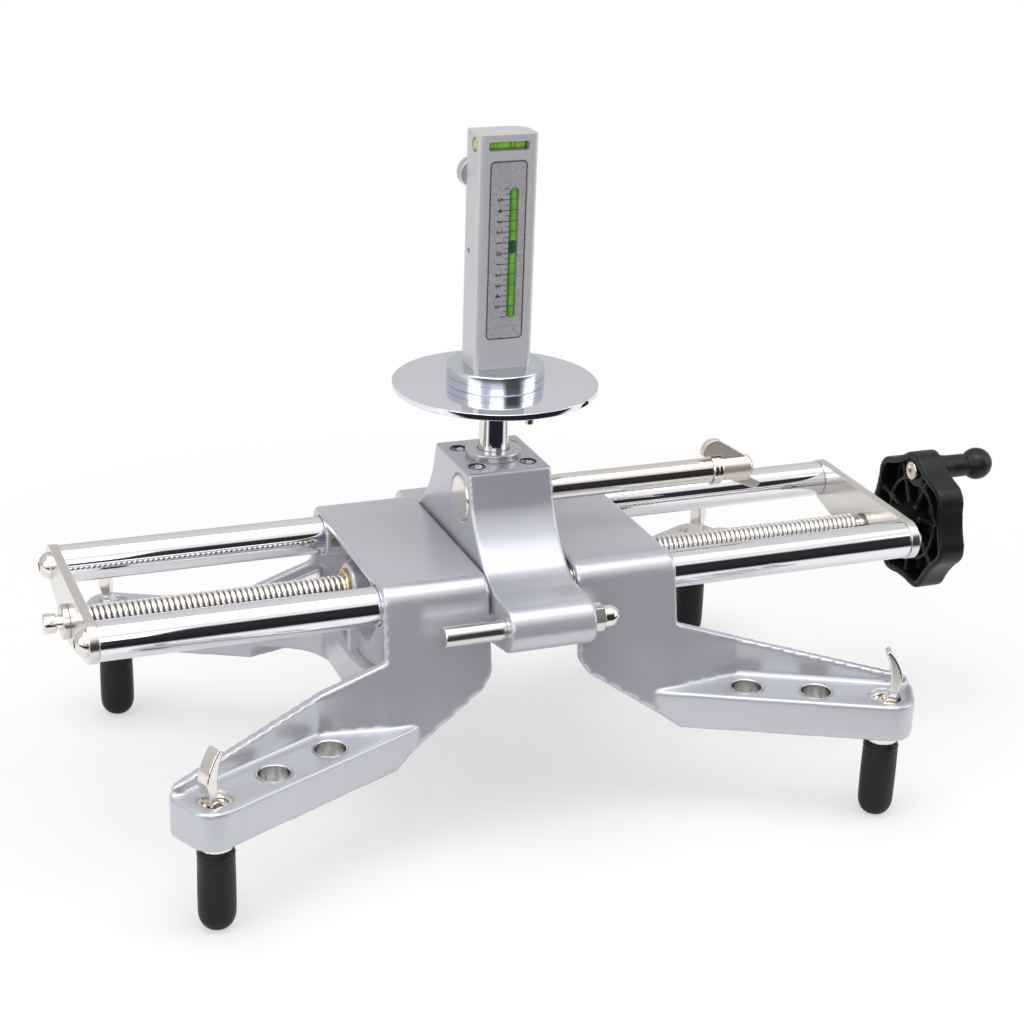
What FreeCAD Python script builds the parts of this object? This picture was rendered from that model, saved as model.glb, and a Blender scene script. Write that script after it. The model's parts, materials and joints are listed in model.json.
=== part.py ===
import FreeCAD, Part
import Sketcher
import math
import os

# A magnetic camber and caster gauge on a self-centring, four-claw wheel clamp.
# +X runs along the guide rods to the hand wheel, +Y to the back, +Z up. The origin is on the
# spindle's axis, on the surface that the four rubber fingers stand on. Sizes are in millimetres.

V = FreeCAD.Vector
doc = FreeCAD.newDocument("CamberCasterGauge")
sheet = doc.addObject("Spreadsheet::Sheet", "Sizes")


# Sizes: a value with the words that bind it to the sheet

class Size:
    def __init__(self, value, text):
        self.value = float(value)
        self.text = text

    def __add__(self, other):
        other = asSize(other)
        return Size(self.value + other.value, f"({self.text} + {other.text})")

    def __sub__(self, other):
        other = asSize(other)
        return Size(self.value - other.value, f"({self.text} - {other.text})")

    def __mul__(self, other):
        other = asSize(other)
        return Size(self.value * other.value, f"({self.text} * {other.text})")

    def __truediv__(self, other):
        other = asSize(other)
        return Size(self.value / other.value, f"({self.text} / {other.text})")

    def __radd__(self, other):
        return asSize(other) + self

    def __rsub__(self, other):
        return asSize(other) - self

    def __rmul__(self, other):
        return asSize(other) * self

    def __neg__(self):
        return Size(-self.value, f"(0 - {self.text})")


def asSize(number):
    return number if isinstance(number, Size) else Size(number, f"{number:.9g}")


def root(size):
    return Size(math.sqrt(size.value), f"sqrt({size.text})")


nextRow = 1


def size(alias, value, note):
    """One driving dimension: a plain number in the sheet, under its own name."""
    global nextRow
    sheet.set(f"A{nextRow}", note)
    sheet.set(f"B{nextRow}", f"{value}")
    sheet.setAlias(f"B{nextRow}", alias)
    nextRow += 1
    return Size(value, f"Sizes.{alias}")


# Guide rods, screw and end plates
rodDia = size("rod_dia", 20.6, "guide rod diameter")
rodSpacing = size("rod_spacing", 100, "distance between the guide rods' axes")
rodHeight = size("rod_height", 128, "height of the guide rods' axes")
rodLength = size("rod_length", 455, "guide rod length, from plate to plate")
rodShift = size("rod_shift", 2, "how far the rods' middle stands beside the head's")
rodChamfer = size("rod_chamfer", 0.8, "chamfer on the rods' ends")
plateThickness = size("plate_thickness", 5, "end plate thickness")
plateEdge = size("plate_edge", 0.7, "end plate metal outside a guide rod")
plateBoss = size("plate_boss_radius", 12.6, "end plate radius round the screw")
capHeadDia = size("cap_head_dia", 14.4, "rod cap screw head diameter")
capLand = size("cap_land", 1, "straight edge under the dome of a rod cap screw")
capDome = size("cap_dome_height", 4.6, "height of that dome")
capDomeRound = size("cap_dome_radius", 8, "radius of that dome")
capShankDia = size("cap_shank_dia", 8, "rod cap screw thread diameter")
capShankDepth = size("cap_shank_depth", 16, "rod cap screw depth in the rod")
capSocketDepth = size("cap_socket_depth", 2.6, "hexagon socket depth of the cap screws")
capSocketWide = size("cap_socket_wide", 5, "hexagon socket width of the cap screws")
screwDrop = size("screw_drop", 10.5, "how far the lead screw's axis lies below the rods'")
screwDia = size("screw_dia", 14, "lead screw thread diameter")
screwGap = size("screw_end_gap", 3.5, "plain length of the screw inside each plate")
journalDia = size("journal_dia", 8, "lead screw journal diameter")
bushFlangeDia = size("bush_flange_dia", 18.5, "screw bush flange diameter")
bushFlangeThick = size("bush_flange_thickness", 3.8, "screw bush flange thickness")
bushBarrelDia = size("bush_barrel_dia", 12, "screw bush barrel diameter")
endCollarDia = size("end_collar_dia", 10.4, "diameter of the collar on the screw's left end")
endCollarLength = size("end_collar_length", 6.4, "length of the collar on the screw's left end")
endNeck = size("end_neck_length", 2.6, "length of bare journal between that collar and its bush")
endCollarChamfer = size("end_collar_chamfer", 1.5, "chamfer of the collar")

# Fits
runGap = size("running_clearance", 0.06, "radial clearance of a part that turns or slides in another")
seatGap = size("seat_clearance", 0.05, "radial clearance of a part that is fixed in another")
faceGap = size("face_clearance", 0.3, "gap between faces that pass each other")
jawGap = size("jaw_gap", 1.2, "gap between the head and a closed jaw")
overrun = size("overrun", 3, "how far cuts run past what they cut")

# Head casting
headWidth = size("head_width", 47, "width of the head along the rods")
headCrown = size("head_crown", 17, "height of the head's top face above the lock's axis")
headTopDepth = size("head_top_depth", 52, "depth of the head's top face")
headDepth = size("head_depth", 23, "how far the head's underside lies below the rods' axes")
noseClear = size("nose_clearance", 18, "how far a nose's round end stands outside a jaw's shoulder")
noseDrop = size("nose_drop", 6, "how far the noses' axes lie below the rods'")
noseRadius = size("nose_radius", 12.5, "radius of a nose's round end")
headHoleDia = size("head_hole_dia", 8.5, "diameter of the four holes in the head's top")
headHoleSpacing = size("head_hole_spacing", 29, "spacing of the four holes")
headHoleDepth = size("head_hole_depth", 4, "depth of the four holes")
sweepHigh = size("head_sweep_high_radius", 77, "radius of the upper sweep from the head to a nose")
sweepLow = size("head_sweep_low_radius", 34, "radius of the lower sweep, down to the nose")

# Spindle, bushing and disc
spindleDia = size("spindle_dia", 16.4, "spindle diameter in its bushing")
spindleNeckDia = size("spindle_neck_dia", 14.4, "spindle diameter under the disc")
spindleDepth = size("spindle_depth", 36, "length of spindle inside the head")
flangeDia = size("flange_dia", 30.2, "spindle bushing flange diameter")
flangeThick = size("flange_thickness", 4.2, "spindle bushing flange thickness")
bushingDia = size("bushing_dia", 22, "spindle bushing barrel diameter")
bushingDepth = size("bushing_depth", 4, "spindle bushing depth in the head")
discDia = size("disc_dia", 109.6, "disc diameter")
discRise = size("disc_rise", 41.4, "height of the disc's upper face above the head")
discThick = size("disc_thickness", 3.2, "disc thickness")
discEdge = size("disc_edge", 0.6, "chamfer of the disc's rim")
discScrewDia = size("disc_screw_dia", 6, "disc screw thread diameter")
discScrewHead = size("disc_screw_head", 2.4, "countersunk head depth of the disc screw")
discScrewLength = size("disc_screw_length", 18, "disc screw length")
discPinDia = size("disc_pin_dia", 4.6, "diameter of the pin under the disc")
discPinLength = size("disc_pin_length", 3.4, "length of the pin under the disc")
discPinReach = size("disc_pin_reach", 50, "distance of that pin from the spindle's axis")

# Lock: cotter plug, rod and wing head
lockSet = size("lock_offset", 14.2, "distance of the lock's axis in front of the spindle's")
lockRise = size("lock_rise", 25.6, "height of the lock's axis above the jaws")
plugDia = size("plug_dia", 24.6, "cotter plug diameter")
plugLength = size("plug_length", 20, "cotter plug length")
plugProud = size("plug_proud", 0.4, "how far the plug stands out of the head")
lockDia = size("lock_dia", 14, "lock rod diameter")
lockLength = size("lock_length", 96, "thick length of the lock rod")
lockNeckDia = size("lock_neck_dia", 10.6, "lock rod neck diameter beside the head")
lockNeck = size("lock_neck_length", 3, "lock rod neck length")
lockThreadDia = size("lock_thread_dia", 8, "lock rod thread diameter")
lockThreadIn = size("lock_thread_depth", 14, "how far the thread goes into the plug")
lockWasherDia = size("lock_washer_dia", 16.4, "lock washer diameter")
lockWasherThick = size("lock_washer_thickness", 6, "lock washer thickness")
lockTipDia = size("lock_tip_dia", 8, "lock rod tip diameter inside the wing head")
wingLength = size("wing_length", 19, "length of the wing head's barrel")
wingDia = size("wing_dia", 13.6, "diameter of the wing head's barrel")
wingReach = size("wing_reach", 18, "reach of the upper wing from the lock's axis")
wingReachLow = size("wing_reach_low", 13, "reach of the lower wing from the lock's axis")
wingTipHigh = size("wing_tip_high", 7, "radius of the upper wing's round end")
wingTipLow = size("wing_tip_low", 3.6, "radius of the lower wing's round end")
wingThick = size("wing_thickness", 4.4, "thickness of the wings")
wingBack = size("wing_back", 2, "how far the upper wing's round end lies back from the barrel")
wingOut = size("wing_out", 3, "how far the lower wing's round end lies beyond the barrel")

# Nose studs and nuts
studDia = size("stud_dia", 11, "nose stud diameter")
studLength = size("stud_length", 33, "length of the nose stud outside the nose")
studThreadDia = size("stud_thread_dia", 8, "nose stud thread diameter")
studChamfer = size("stud_chamfer", 0.8, "chamfer on the stud's end")
nutWide = size("nut_wide", 13, "acorn nut width across its flats")
nutThick = size("nut_thickness", 7.4, "thickness of the acorn nut's hexagon")
nutDomeDia = size("nut_dome_dia", 12, "diameter of the acorn nut's dome")
nutDomeLength = size("nut_dome_length", 9.6, "length of the acorn nut's dome")
grubDia = size("grub_dia", 6, "grub screw diameter")
grubLength = size("grub_length", 9, "grub screw length")

# Jaws
jawLength = size("jaw_length", 57, "length of a jaw's bridge along the rods")
jawRise = size("jaw_rise", 14.4, "height of a jaw's top face above the rods' axes")
jawShoulder = size("jaw_shoulder_width", 132, "width of a jaw under its rounded shoulders")
jawRound = size("jaw_shoulder_radius", 12, "radius of those shoulders")
jawSpread = size("jaw_spread", 16, "how far each wall runs out from its shoulder to the arms' underside")
jawLip = size("jaw_lip_radius", 3, "rounding of the top at a jaw's open end")
jawWall = size("jaw_wall", 6, "wall thickness of a jaw")
jawCornerHeight = size("jaw_corner_height", 87, "height of a jaw's inner lower corner")
jawCornerRound = size("jaw_corner_cut", 5, "cut of that corner")
saddleHigh = size("saddle_high", 82, "height of the saddle between the arms, in the middle at the bridge")
saddleEnd = size("saddle_end", 69, "height of its middle line, drawn on to the ridges' bends")
saddleLow = size("saddle_low", 57, "height of the saddle's underside")
saddleRound = size("saddle_radius", 125, "radius of the saddle's hollow top")
notchRound = size("notch_radius", 30, "rounding between the notch's end and the arms")
webSet = size("jaw_web_offset", 20, "distance of a jaw's web inside its open end")
webThick = size("jaw_web_thickness", 6, "thickness of a jaw's web")
webFloor = size("jaw_web_height", 104, "height of the web's lower edge")
rodBossDia = size("rod_boss_dia", 24.6, "diameter of the bosses round the rods")
rodBushWall = size("rod_bush_wall", 1, "wall of the rod bushes")
rodBushLength = size("rod_bush_length", 12, "length of the rod bushes")
nutBossDia = size("nut_boss_dia", 26, "diameter of the boss round the screw nut")
nutFlangeDia = size("screw_nut_flange_dia", 20.4, "screw nut flange diameter")
nutFlangeThick = size("screw_nut_flange_thickness", 1.8, "screw nut flange thickness")
nutBarrelDia = size("screw_nut_barrel_dia", 17.6, "screw nut barrel diameter")
nutBarrelLength = size("screw_nut_barrel_length", 22, "screw nut barrel length")
jawTravel = size("jaw_travel", 100, "how far each jaw opens")

# Arms, one pair on each jaw
armAngle = size("arm_angle", 25.9, "angle of the arms to the rods, in degrees")
armFloor = size("arm_floor_height", 70.6, "height of the arms' floor with the holes")
armThick = size("arm_thickness", 20.6, "thickness of an arm")
holeDia = size("arm_hole_dia", 16.8, "diameter of the arm holes")
holePitch = size("arm_hole_pitch", 37.4, "spacing of the arm holes")
holeRootX = size("arm_hole_root_x", 116.9, "place of the inner hole along the rods")
holeRootY = size("arm_hole_root_y", 87.9, "place of the inner hole across the rods")
armFront = size("arm_outer_width", 13.8, "arm width outside the row of holes")
ridgeNear = size("ridge_near", 14.4, "distance of the ridge's near face from the row of holes")
ridgeFar = size("ridge_far", 20, "distance of the ridge's far face from the row of holes")
armNose = size("arm_nose_length", 15.5, "arm length beyond the outer hole")
armNoseRound = size("arm_nose_radius", 13, "rounding of the arm's outer corner")
armHeelRound = size("arm_heel_radius", 7, "rounding of the arm's inner corner")
ridgeLow = size("ridge_low_height", 74.4, "height of the ridge at the arm's end")
ridgeHigh = size("ridge_high_height", 91.8, "height of the ridge at the jaw's wall")
ridgeTop = size("ridge_top_height", 104.9, "height where the ridge meets the jaw's open end")
ridgeEndX = size("ridge_bend_x", 118.4, "place of the ridge's bend along the rods")
ridgeEndY = size("ridge_bend_y", 72, "place of the ridge's bend across the rods")
ridgeLean = size("ridge_lean", 1, "how far the wall leans out at that bend")
ridgeTipSet = size("ridge_tip_set", 1.5, "how far the ridge's tip lies inside the arm's end")
armTipX = size("arm_tip_x", 74, "place of the inner tip of an arm's floor")

# Claws, rings and finger sleeves
clawCollarDia = size("claw_collar_dia", 17.4, "claw collar diameter")
clawCollarHeight = size("claw_collar_height", 5, "claw collar height")
clawStemDia = size("claw_stem_dia", 10, "diameter of the claw's stem inside its sleeve")
clawStemLength = size("claw_stem_length", 36, "length of the claw's stem")
clawBladeHigh = size("claw_blade_height", 98.6, "height of the claw's tip")
clawBladeFoot = size("claw_blade_foot", 5.2, "how far the blade's foot stands out from its pin's axis")
clawBladeHeel = size("claw_blade_heel", 3.4, "how far the blade's foot reaches inwards from its pin's axis")
clawBladeOut = size("claw_blade_out", 7.6, "how far the blade's back stands out from its pin's axis")
clawBladeIn = size("claw_blade_in", 1.2, "how far out the blade's hollow side stands")
clawBladeBend = size("claw_blade_bend", 15, "height of the blade's bend above its foot")
clawBladeWide = size("claw_blade_width", 8, "width of the claw's blade")
clawHook = size("claw_hook", 2.6, "how far the claw's tip hooks back past its pin's axis")
clawTip = size("claw_tip", 1.9, "thickness of the claw's tip")
ringThick = size("ring_thickness", 1.2, "thickness of the claw's retaining ring")
ringWide = size("ring_width", 1.6, "radial width of the retaining ring")
ringSet = size("ring_offset", 1.5, "how far the ring lies below the arm's floor")
sleeveDia = size("sleeve_dia", 19.4, "finger sleeve diameter")
sleeveTopDia = size("sleeve_top_dia", 18.6, "finger sleeve diameter at its top")
sleeveRound = size("sleeve_round", 9, "rounding of the finger sleeve's end")

# Hand wheel and crank
wheelSet = size("wheel_offset", 28, "distance of the hand wheel's back from the right plate")
wheelThick = size("wheel_thickness", 16, "hand wheel thickness")
wheelLobe = size("wheel_lobe_reach", 41.2, "reach of the hand wheel's lobes")
wheelValley = size("wheel_valley_reach", 37, "reach of the hand wheel between its lobes")
lobeRound = size("wheel_lobe_radius", 11.5, "radius of the lobes")
wheelWall = size("wheel_wall", 4, "hand wheel rim thickness")
wheelFace = size("wheel_face", 4.5, "hand wheel face thickness")
wheelRing = size("wheel_ring_radius", 25.2, "radius of the ring rib on the wheel's back")
wheelRib = size("wheel_rib", 2.4, "thickness of the wheel's ribs")
wheelRibSink = size("wheel_rib_sink", 3, "how far the ribs lie below the rim's edge")
wheelHubDia = size("wheel_hub_dia", 19, "hand wheel hub diameter")
wheelNutWide = size("wheel_nut_wide", 13, "wheel nut width across its flats")
wheelNutThick = size("wheel_nut_thickness", 4.5, "wheel nut thickness")
crankReach = size("crank_reach", 30, "distance of the crank handle from the screw's axis")
crankStemDia = size("crank_stem_dia", 13.6, "crank handle stem diameter")
crankBallSet = size("crank_ball_offset", 28.2, "distance of the crank's ball from the wheel's face")
crankBallDia = size("crank_ball_dia", 18.8, "crank handle ball diameter")
crankBoss = size("crank_boss_radius", 10, "radius of the lobe's boss round the crank screw")
crankScrewDia = size("crank_screw_dia", 6, "crank screw diameter")
crankHeadDia = size("crank_head_dia", 10.6, "crank screw head diameter")
crankHeadThick = size("crank_head_thickness", 3, "crank screw head thickness")
crankScrewDepth = size("crank_screw_depth", 18, "crank screw depth in the handle")

# Gauge
magnetDia = size("magnet_dia", 52, "magnet base diameter")
magnetHeight = size("magnet_height", 10.2, "magnet base height")
magnetEdge = size("magnet_edge", 1, "chamfer of the magnet base")
gaugeWidth = size("gauge_width", 32.2, "gauge body width")
gaugeDepth = size("gauge_depth", 20.8, "gauge body depth")
gaugeHeight = size("gauge_height", 123.4, "gauge body height")
gaugeRound = size("gauge_round", 3, "rounding of the gauge body's upright edges")
gaugeShoulder = size("gauge_shoulder", 9, "rounding of the gauge body's rear right edge")
scaleWidth = size("scale_width", 20.6, "scale plate width")
scaleHeight = size("scale_height", 94.4, "scale plate height")
scaleLow = size("scale_low", 16, "scale plate distance above the gauge body's foot")
scaleThick = size("scale_thickness", 0.8, "scale plate thickness")
scaleRound = size("scale_round", 3, "scale plate corner radius")
vialDia = size("vial_dia", 7.4, "vial diameter")
camberX = size("camber_vial_x", 3.4, "camber vial distance right of the body's middle")
camberLength = size("camber_vial_length", 74, "camber vial length")
camberSlotWide = size("camber_slot_width", 5.2, "camber slot width")
camberSlotHigh = size("camber_slot_height", 69, "camber slot height")
camberSlotLow = size("camber_slot_low", 27.4, "camber slot distance above the foot")
crossLength = size("cross_vial_length", 27, "cross vial length")
crossSet = size("cross_vial_depth", 7.4, "distance of the cross vial's axis behind the front face")
crossHeight = size("cross_vial_height", 117.6, "cross vial distance above the foot")
crossSlotWide = size("cross_slot_width", 22, "cross slot width")
crossSlotHigh = size("cross_slot_height", 4.8, "cross slot height")
sideHoleDia = size("side_hole_dia", 3, "small hole in the gauge's left side")
sideHoleHeight = size("side_hole_height", 61.5, "its distance above the foot")
sideHoleDepth = size("side_hole_depth", 5, "its depth")
casterLength = size("caster_vial_length", 50, "caster vial length")
casterLow = size("caster_vial_low", 26, "caster vial distance above the foot")
casterX = size("caster_vial_x", 3.4, "caster vial distance from the body's middle")
casterPlateHigh = size("caster_plate_height", 66, "caster plate height")
casterPlateLow = size("caster_plate_low", 18, "caster plate distance above the foot")
knobDia = size("knob_dia", 16.6, "caster knob diameter")
knobThick = size("knob_thickness", 7, "caster knob thickness")
knobX = size("knob_x", 10.4, "caster knob distance left of the body's middle")
knobHeight = size("knob_height", 99.6, "caster knob distance above the foot")
knobStemDia = size("knob_stem_dia", 4, "caster knob stem diameter")
knobStemDepth = size("knob_stem_depth", 8, "caster knob stem depth in the body")
gaugeScrewDia = size("gauge_screw_dia", 5, "magnet screw diameter")
gaugeScrewHeadDia = size("gauge_screw_head_dia", 10, "magnet screw head diameter")
gaugeScrewHead = size("gauge_screw_head", 4, "magnet screw head height")
gaugeScrewDepth = size("gauge_screw_depth", 12, "magnet screw depth in the gauge body")

doc.recompute()

nodes = []
zero = Size(0, "0")

# Heights that stack on each other, and shares of the sizes that they follow
screwHeight = rodHeight - screwDrop
noseHeight = rodHeight - noseDrop
headFloor = rodHeight - headDepth
jawTop = rodHeight + jawRise
jawShoulderHeight = jawTop - jawRound
jawBase = jawShoulder + jawSpread + jawSpread
noseReach = jawShoulder / 2 + noseClear
lockHeight = jawTop + lockRise
headTop = lockHeight + headCrown
discTop = headTop + discRise
vialSet = scaleThick + vialDia / 2 + seatGap
sweepShares = ((0.095, 0.644), (0.362, 0.228), (0.724, 0.01))
flareShare = 0.6
bladeShare = 0.6
vialEndShare = 1 / 3
halfLobeShare = 0.5
quarterTurnShare = 0.25
sideHoleShare = 0.6


# Building blocks

def part(label, feature):
    """Keeps a finished sub-part under its own name."""
    feature.Label = label
    nodes.append(feature)
    return feature


def newBody(label):
    body = doc.addObject("PartDesign::Body", "Body_" + label)
    return part(label, body)


def place(thing, x=zero, y=zero, z=zero, turn=zero):
    """Puts a sub-part at a point that follows the sheet, turned by some degrees about +Z."""
    x, y, z, turn = asSize(x), asSize(y), asSize(z), asSize(turn)
    rotation = FreeCAD.Rotation(V(0, 0, 1), turn.value)
    thing.Placement = FreeCAD.Placement(V(x.value, y.value, z.value), rotation)
    if turn.value:
        thing.setExpression("Placement.Rotation.Angle", f"({turn.text}) * 1 deg")
    for axis, length in (("x", x), ("y", y), ("z", z)):
        thing.setExpression("Placement.Base." + axis, length.text)
    return thing


def originPlane(body, role):
    return next(feature for feature in body.Origin.OriginFeatures if feature.Role == role)


def newSketch(body, role, name, offset=zero):
    """A sketch on one of the body's own origin planes, moved along the plane's normal."""
    offset = asSize(offset)
    sketch = body.newObject("Sketcher::SketchObject", name)
    sketch.AttachmentSupport = [(originPlane(body, role), "")]
    sketch.MapMode = "FlatFace"
    sketch.AttachmentOffset = FreeCAD.Placement(V(0, 0, offset.value), FreeCAD.Rotation())
    sketch.setExpression("AttachmentOffset.Base.z", offset.text)
    return sketch


def arcCentre(start, end, radius):
    """Centre of an arc that turns left, for a radius above zero, or right, from start to end."""
    chord = end - start
    half = chord.Length / 2
    reach = math.sqrt(max(radius * radius - half * half, 0))
    side = V(-chord.y, chord.x, 0).normalize()
    return (start + end) / 2 + side * (reach if radius > 0 else -reach)


def outline(sketch, points):
    """A closed outline. A point is (u, v), or (u, v, radius) where an arc runs on to the next
    point: it turns left for a radius above zero and right for one below."""
    spots = [V(asSize(point[0]).value, asSize(point[1]).value, 0) for point in points]
    first = sketch.GeometryCount
    for index, point in enumerate(points):
        start, end = spots[index], spots[(index + 1) % len(points)]
        if len(point) == 2:
            sketch.addGeometry(Part.LineSegment(start, end), False)
            continue
        radius = asSize(point[2]).value
        centre = arcCentre(start, end, radius)
        circle = Part.Circle(centre, V(0, 0, 1), abs(radius))
        angles = [math.atan2(spot.y - centre.y, spot.x - centre.x) for spot in (start, end)]
        if radius < 0:
            angles.reverse()
        sketch.addGeometry(Part.ArcOfCircle(circle, angles[0], angles[1]), False)
    for index, point in enumerate(points):
        here = first + index
        nextOne = first + (index + 1) % len(points)
        startPos, endPos = endsOf(point)
        nextStart = endsOf(points[(index + 1) % len(points)])[0]
        sketch.addConstraint(Sketcher.Constraint("Coincident", here, endPos, nextOne, nextStart))
        for kind, length in (("DistanceX", asSize(point[0])), ("DistanceY", asSize(point[1]))):
            number = sketch.addConstraint(Sketcher.Constraint(kind, -1, 1, here, startPos, length.value))
            sketch.setExpression(f"Constraints[{number}]", length.text)
        if len(point) == 3:
            length = asSize(point[2]) if asSize(point[2]).value > 0 else -asSize(point[2])
            number = sketch.addConstraint(Sketcher.Constraint("Radius", here, length.value))
            sketch.setExpression(f"Constraints[{number}]", length.text)
    return sketch


def endsOf(point):
    """Which ends of a segment are its start and its end: an arc that turns right is stored reversed."""
    return (2, 1) if len(point) == 3 and asSize(point[2]).value < 0 else (1, 2)


def circle(sketch, u, v, radius):
    u, v, radius = asSize(u), asSize(v), asSize(radius)
    number = sketch.addGeometry(Part.Circle(V(u.value, v.value, 0), V(0, 0, 1), radius.value), False)
    for kind, length in (("DistanceX", u), ("DistanceY", v)):
        place = sketch.addConstraint(Sketcher.Constraint(kind, -1, 1, number, 3, length.value))
        sketch.setExpression(f"Constraints[{place}]", length.text)
    place = sketch.addConstraint(Sketcher.Constraint("Radius", number, radius.value))
    sketch.setExpression(f"Constraints[{place}]", radius.text)
    return sketch


def pad(body, sketch, length, reversed=False, midplane=False):
    length = asSize(length)
    feature = body.newObject("PartDesign::Pad", "Pad")
    feature.Profile = sketch
    feature.Length = length.value
    feature.setExpression("Length", length.text)
    feature.Reversed = reversed
    feature.Midplane = midplane
    return feature


def pocket(body, sketch, length, reversed=False, midplane=False):
    """A cut. The body has to get smaller, or the cut points the wrong way."""
    doc.recompute()
    before = body.Shape.Volume
    length = asSize(length)
    feature = body.newObject("PartDesign::Pocket", "Pocket")
    feature.Profile = sketch
    feature.Length = length.value
    feature.setExpression("Length", length.text)
    feature.Reversed = reversed
    feature.Midplane = midplane
    doc.recompute()
    if not body.Shape.Volume < before:
        raise RuntimeError(f"{body.Label}: a pocket cuts nothing")
    return feature


def turned(label, axis, points, more=None):
    """A turned piece. Its outline is (along the axis, radius) and turns about axis x, y or z."""
    body = newBody(label)
    role = {"x": "XZ_Plane", "y": "YZ_Plane", "z": "XZ_Plane"}[axis]
    sketch = newSketch(body, role, "Profile")
    if axis == "z":
        points = [(point[1], point[0]) + tuple(-asSize(r) for r in point[2:]) for point in points]
    outline(sketch, points)
    feature = body.newObject("PartDesign::Revolution", "Revolution")
    feature.Profile = sketch
    feature.ReferenceAxis = (sketch, ["V_Axis" if axis == "z" else "H_Axis"])
    feature.Angle = 360
    if more:
        more(body)
    return body


def turnedGroup(label, axis, points, places):
    """The same turned piece at several places, in one node of separate solids."""
    solids = []
    for x, y, z in places:
        piece = turned(f"{label}_piece_{len(solids) + 1}", axis, points)
        nodes.remove(piece)
        solids.append(place(piece, x, y, z))
    group = doc.addObject("Part::Compound", "Group_" + label)
    group.Links = solids
    return part(label, group)


def tangent(centreA, radiusA, centreB, radiusB):
    """The points where a straight line touches two circles, on its right-hand side going from A to B."""
    dx, dy = centreB[0] - centreA[0], centreB[1] - centreA[1]
    gap = root(dx * dx + dy * dy)
    ex, ey = dx / gap, dy / gap
    lean = (radiusA - radiusB) / gap
    rest = root(1 - lean * lean)
    nx, ny = ex * lean + ey * rest, ey * lean - ex * rest
    return ((centreA[0] + nx * radiusA, centreA[1] + ny * radiusA),
            (centreB[0] + nx * radiusB, centreB[1] + ny * radiusB))


rodRadius = rodDia / 2
rodY = rodSpacing / 2
leftFace = rodShift - rodLength / 2
rightFace = rodShift + rodLength / 2
sides = (("left", -1), ("right", 1))


# Guide rods and their end plates

def guideRod(label, y):
    tap = capShankDia / 2 + seatGap
    bore = capShankDepth + overrun
    end = rodLength / 2
    rod = turned(label, "x", [
        (-end, tap), (-end, rodRadius - rodChamfer), (-end + rodChamfer, rodRadius),
        (end - rodChamfer, rodRadius), (end, rodRadius - rodChamfer), (end, tap),
        (end - bore, tap), (end - bore, zero), (-end + bore, zero), (-end + bore, tap)])
    return place(rod, rodShift, y, rodHeight)


guideRod("guide_rod_front", -rodY)
guideRod("guide_rod_rear", rodY)


def endPlate(label, face, outward):
    body = newBody(label)
    corner = rodRadius + plateEdge
    screwAt, rodAt = (zero, screwHeight - rodHeight), (rodY, zero)
    low, lowEnd = tangent(screwAt, plateBoss, rodAt, corner)
    sketch = newSketch(body, "YZ_Plane", "Outline")
    outline(sketch, [
        (rodY, corner), (-rodY, corner, corner), (-lowEnd[0], lowEnd[1]),
        (-low[0], low[1], plateBoss), (low[0], low[1]), (lowEnd[0], lowEnd[1], corner)])
    pad(body, sketch, plateThickness, reversed=outward < 0)
    holes = newSketch(body, "YZ_Plane", "Holes")
    for y in (-rodY, rodY):
        circle(holes, y, zero, capShankDia / 2 + seatGap)
    circle(holes, zero, screwHeight - rodHeight, bushBarrelDia / 2 + seatGap)
    pocket(body, holes, plateThickness + overrun, reversed=outward > 0)
    return place(body, face, zero, rodHeight)


endPlate("end_plate_left", leftFace, -1)
endPlate("end_plate_right", rightFace, 1)


def rodCapScrews(label, face, outward):
    under = plateThickness
    top = under + capLand + capDome
    radius, shank, socket = capHeadDia / 2, capShankDia / 2, capSocketWide / 2
    points = [
        (-capShankDepth, zero), (-capShankDepth, shank), (under, shank), (under, radius),
        (under + capLand, radius, -capDomeRound), (top, socket + rodChamfer), (top, socket),
        (top - capSocketDepth, socket), (top - capSocketDepth, zero)]
    if outward < 0:
        points = mirrored(points)
    return turnedGroup(label, "x", points, [(face, -rodY, rodHeight), (face, rodY, rodHeight)])


def mirrored(points):
    """The same outline, the other way round along its axis."""
    count = len(points)
    result = []
    for index in range(count):
        point = points[(count - index) % count]
        before = points[(count - index - 1) % count]
        arc = (before[2],) if len(before) == 3 else ()
        result.append((-asSize(point[0]), point[1]) + arc)
    return result


rodCapScrews("rod_cap_screws_left", leftFace, -1)
rodCapScrews("rod_cap_screws_right", rightFace, 1)


# Lead screw, its bushes and its end collar

wheelBack = rightFace + plateThickness + wheelSet
wheelFront = wheelBack + wheelThick
shaftEnd = wheelFront + wheelNutThick


def screwBush(label, face, outward):
    flange = plateThickness + bushFlangeThick
    bore = journalDia / 2 + runGap
    points = [
        (zero, bore), (zero, bushBarrelDia / 2), (plateThickness, bushBarrelDia / 2),
        (plateThickness, bushFlangeDia / 2), (flange - rodChamfer, bushFlangeDia / 2),
        (flange, bushFlangeDia / 2 - rodChamfer), (flange, bore)]
    bush = turned(label, "x", points if outward > 0 else mirrored(points))
    return place(bush, face, zero, screwHeight)


screwBush("screw_bush_left", leftFace, -1)
screwBush("screw_bush_right", rightFace, 1)

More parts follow.
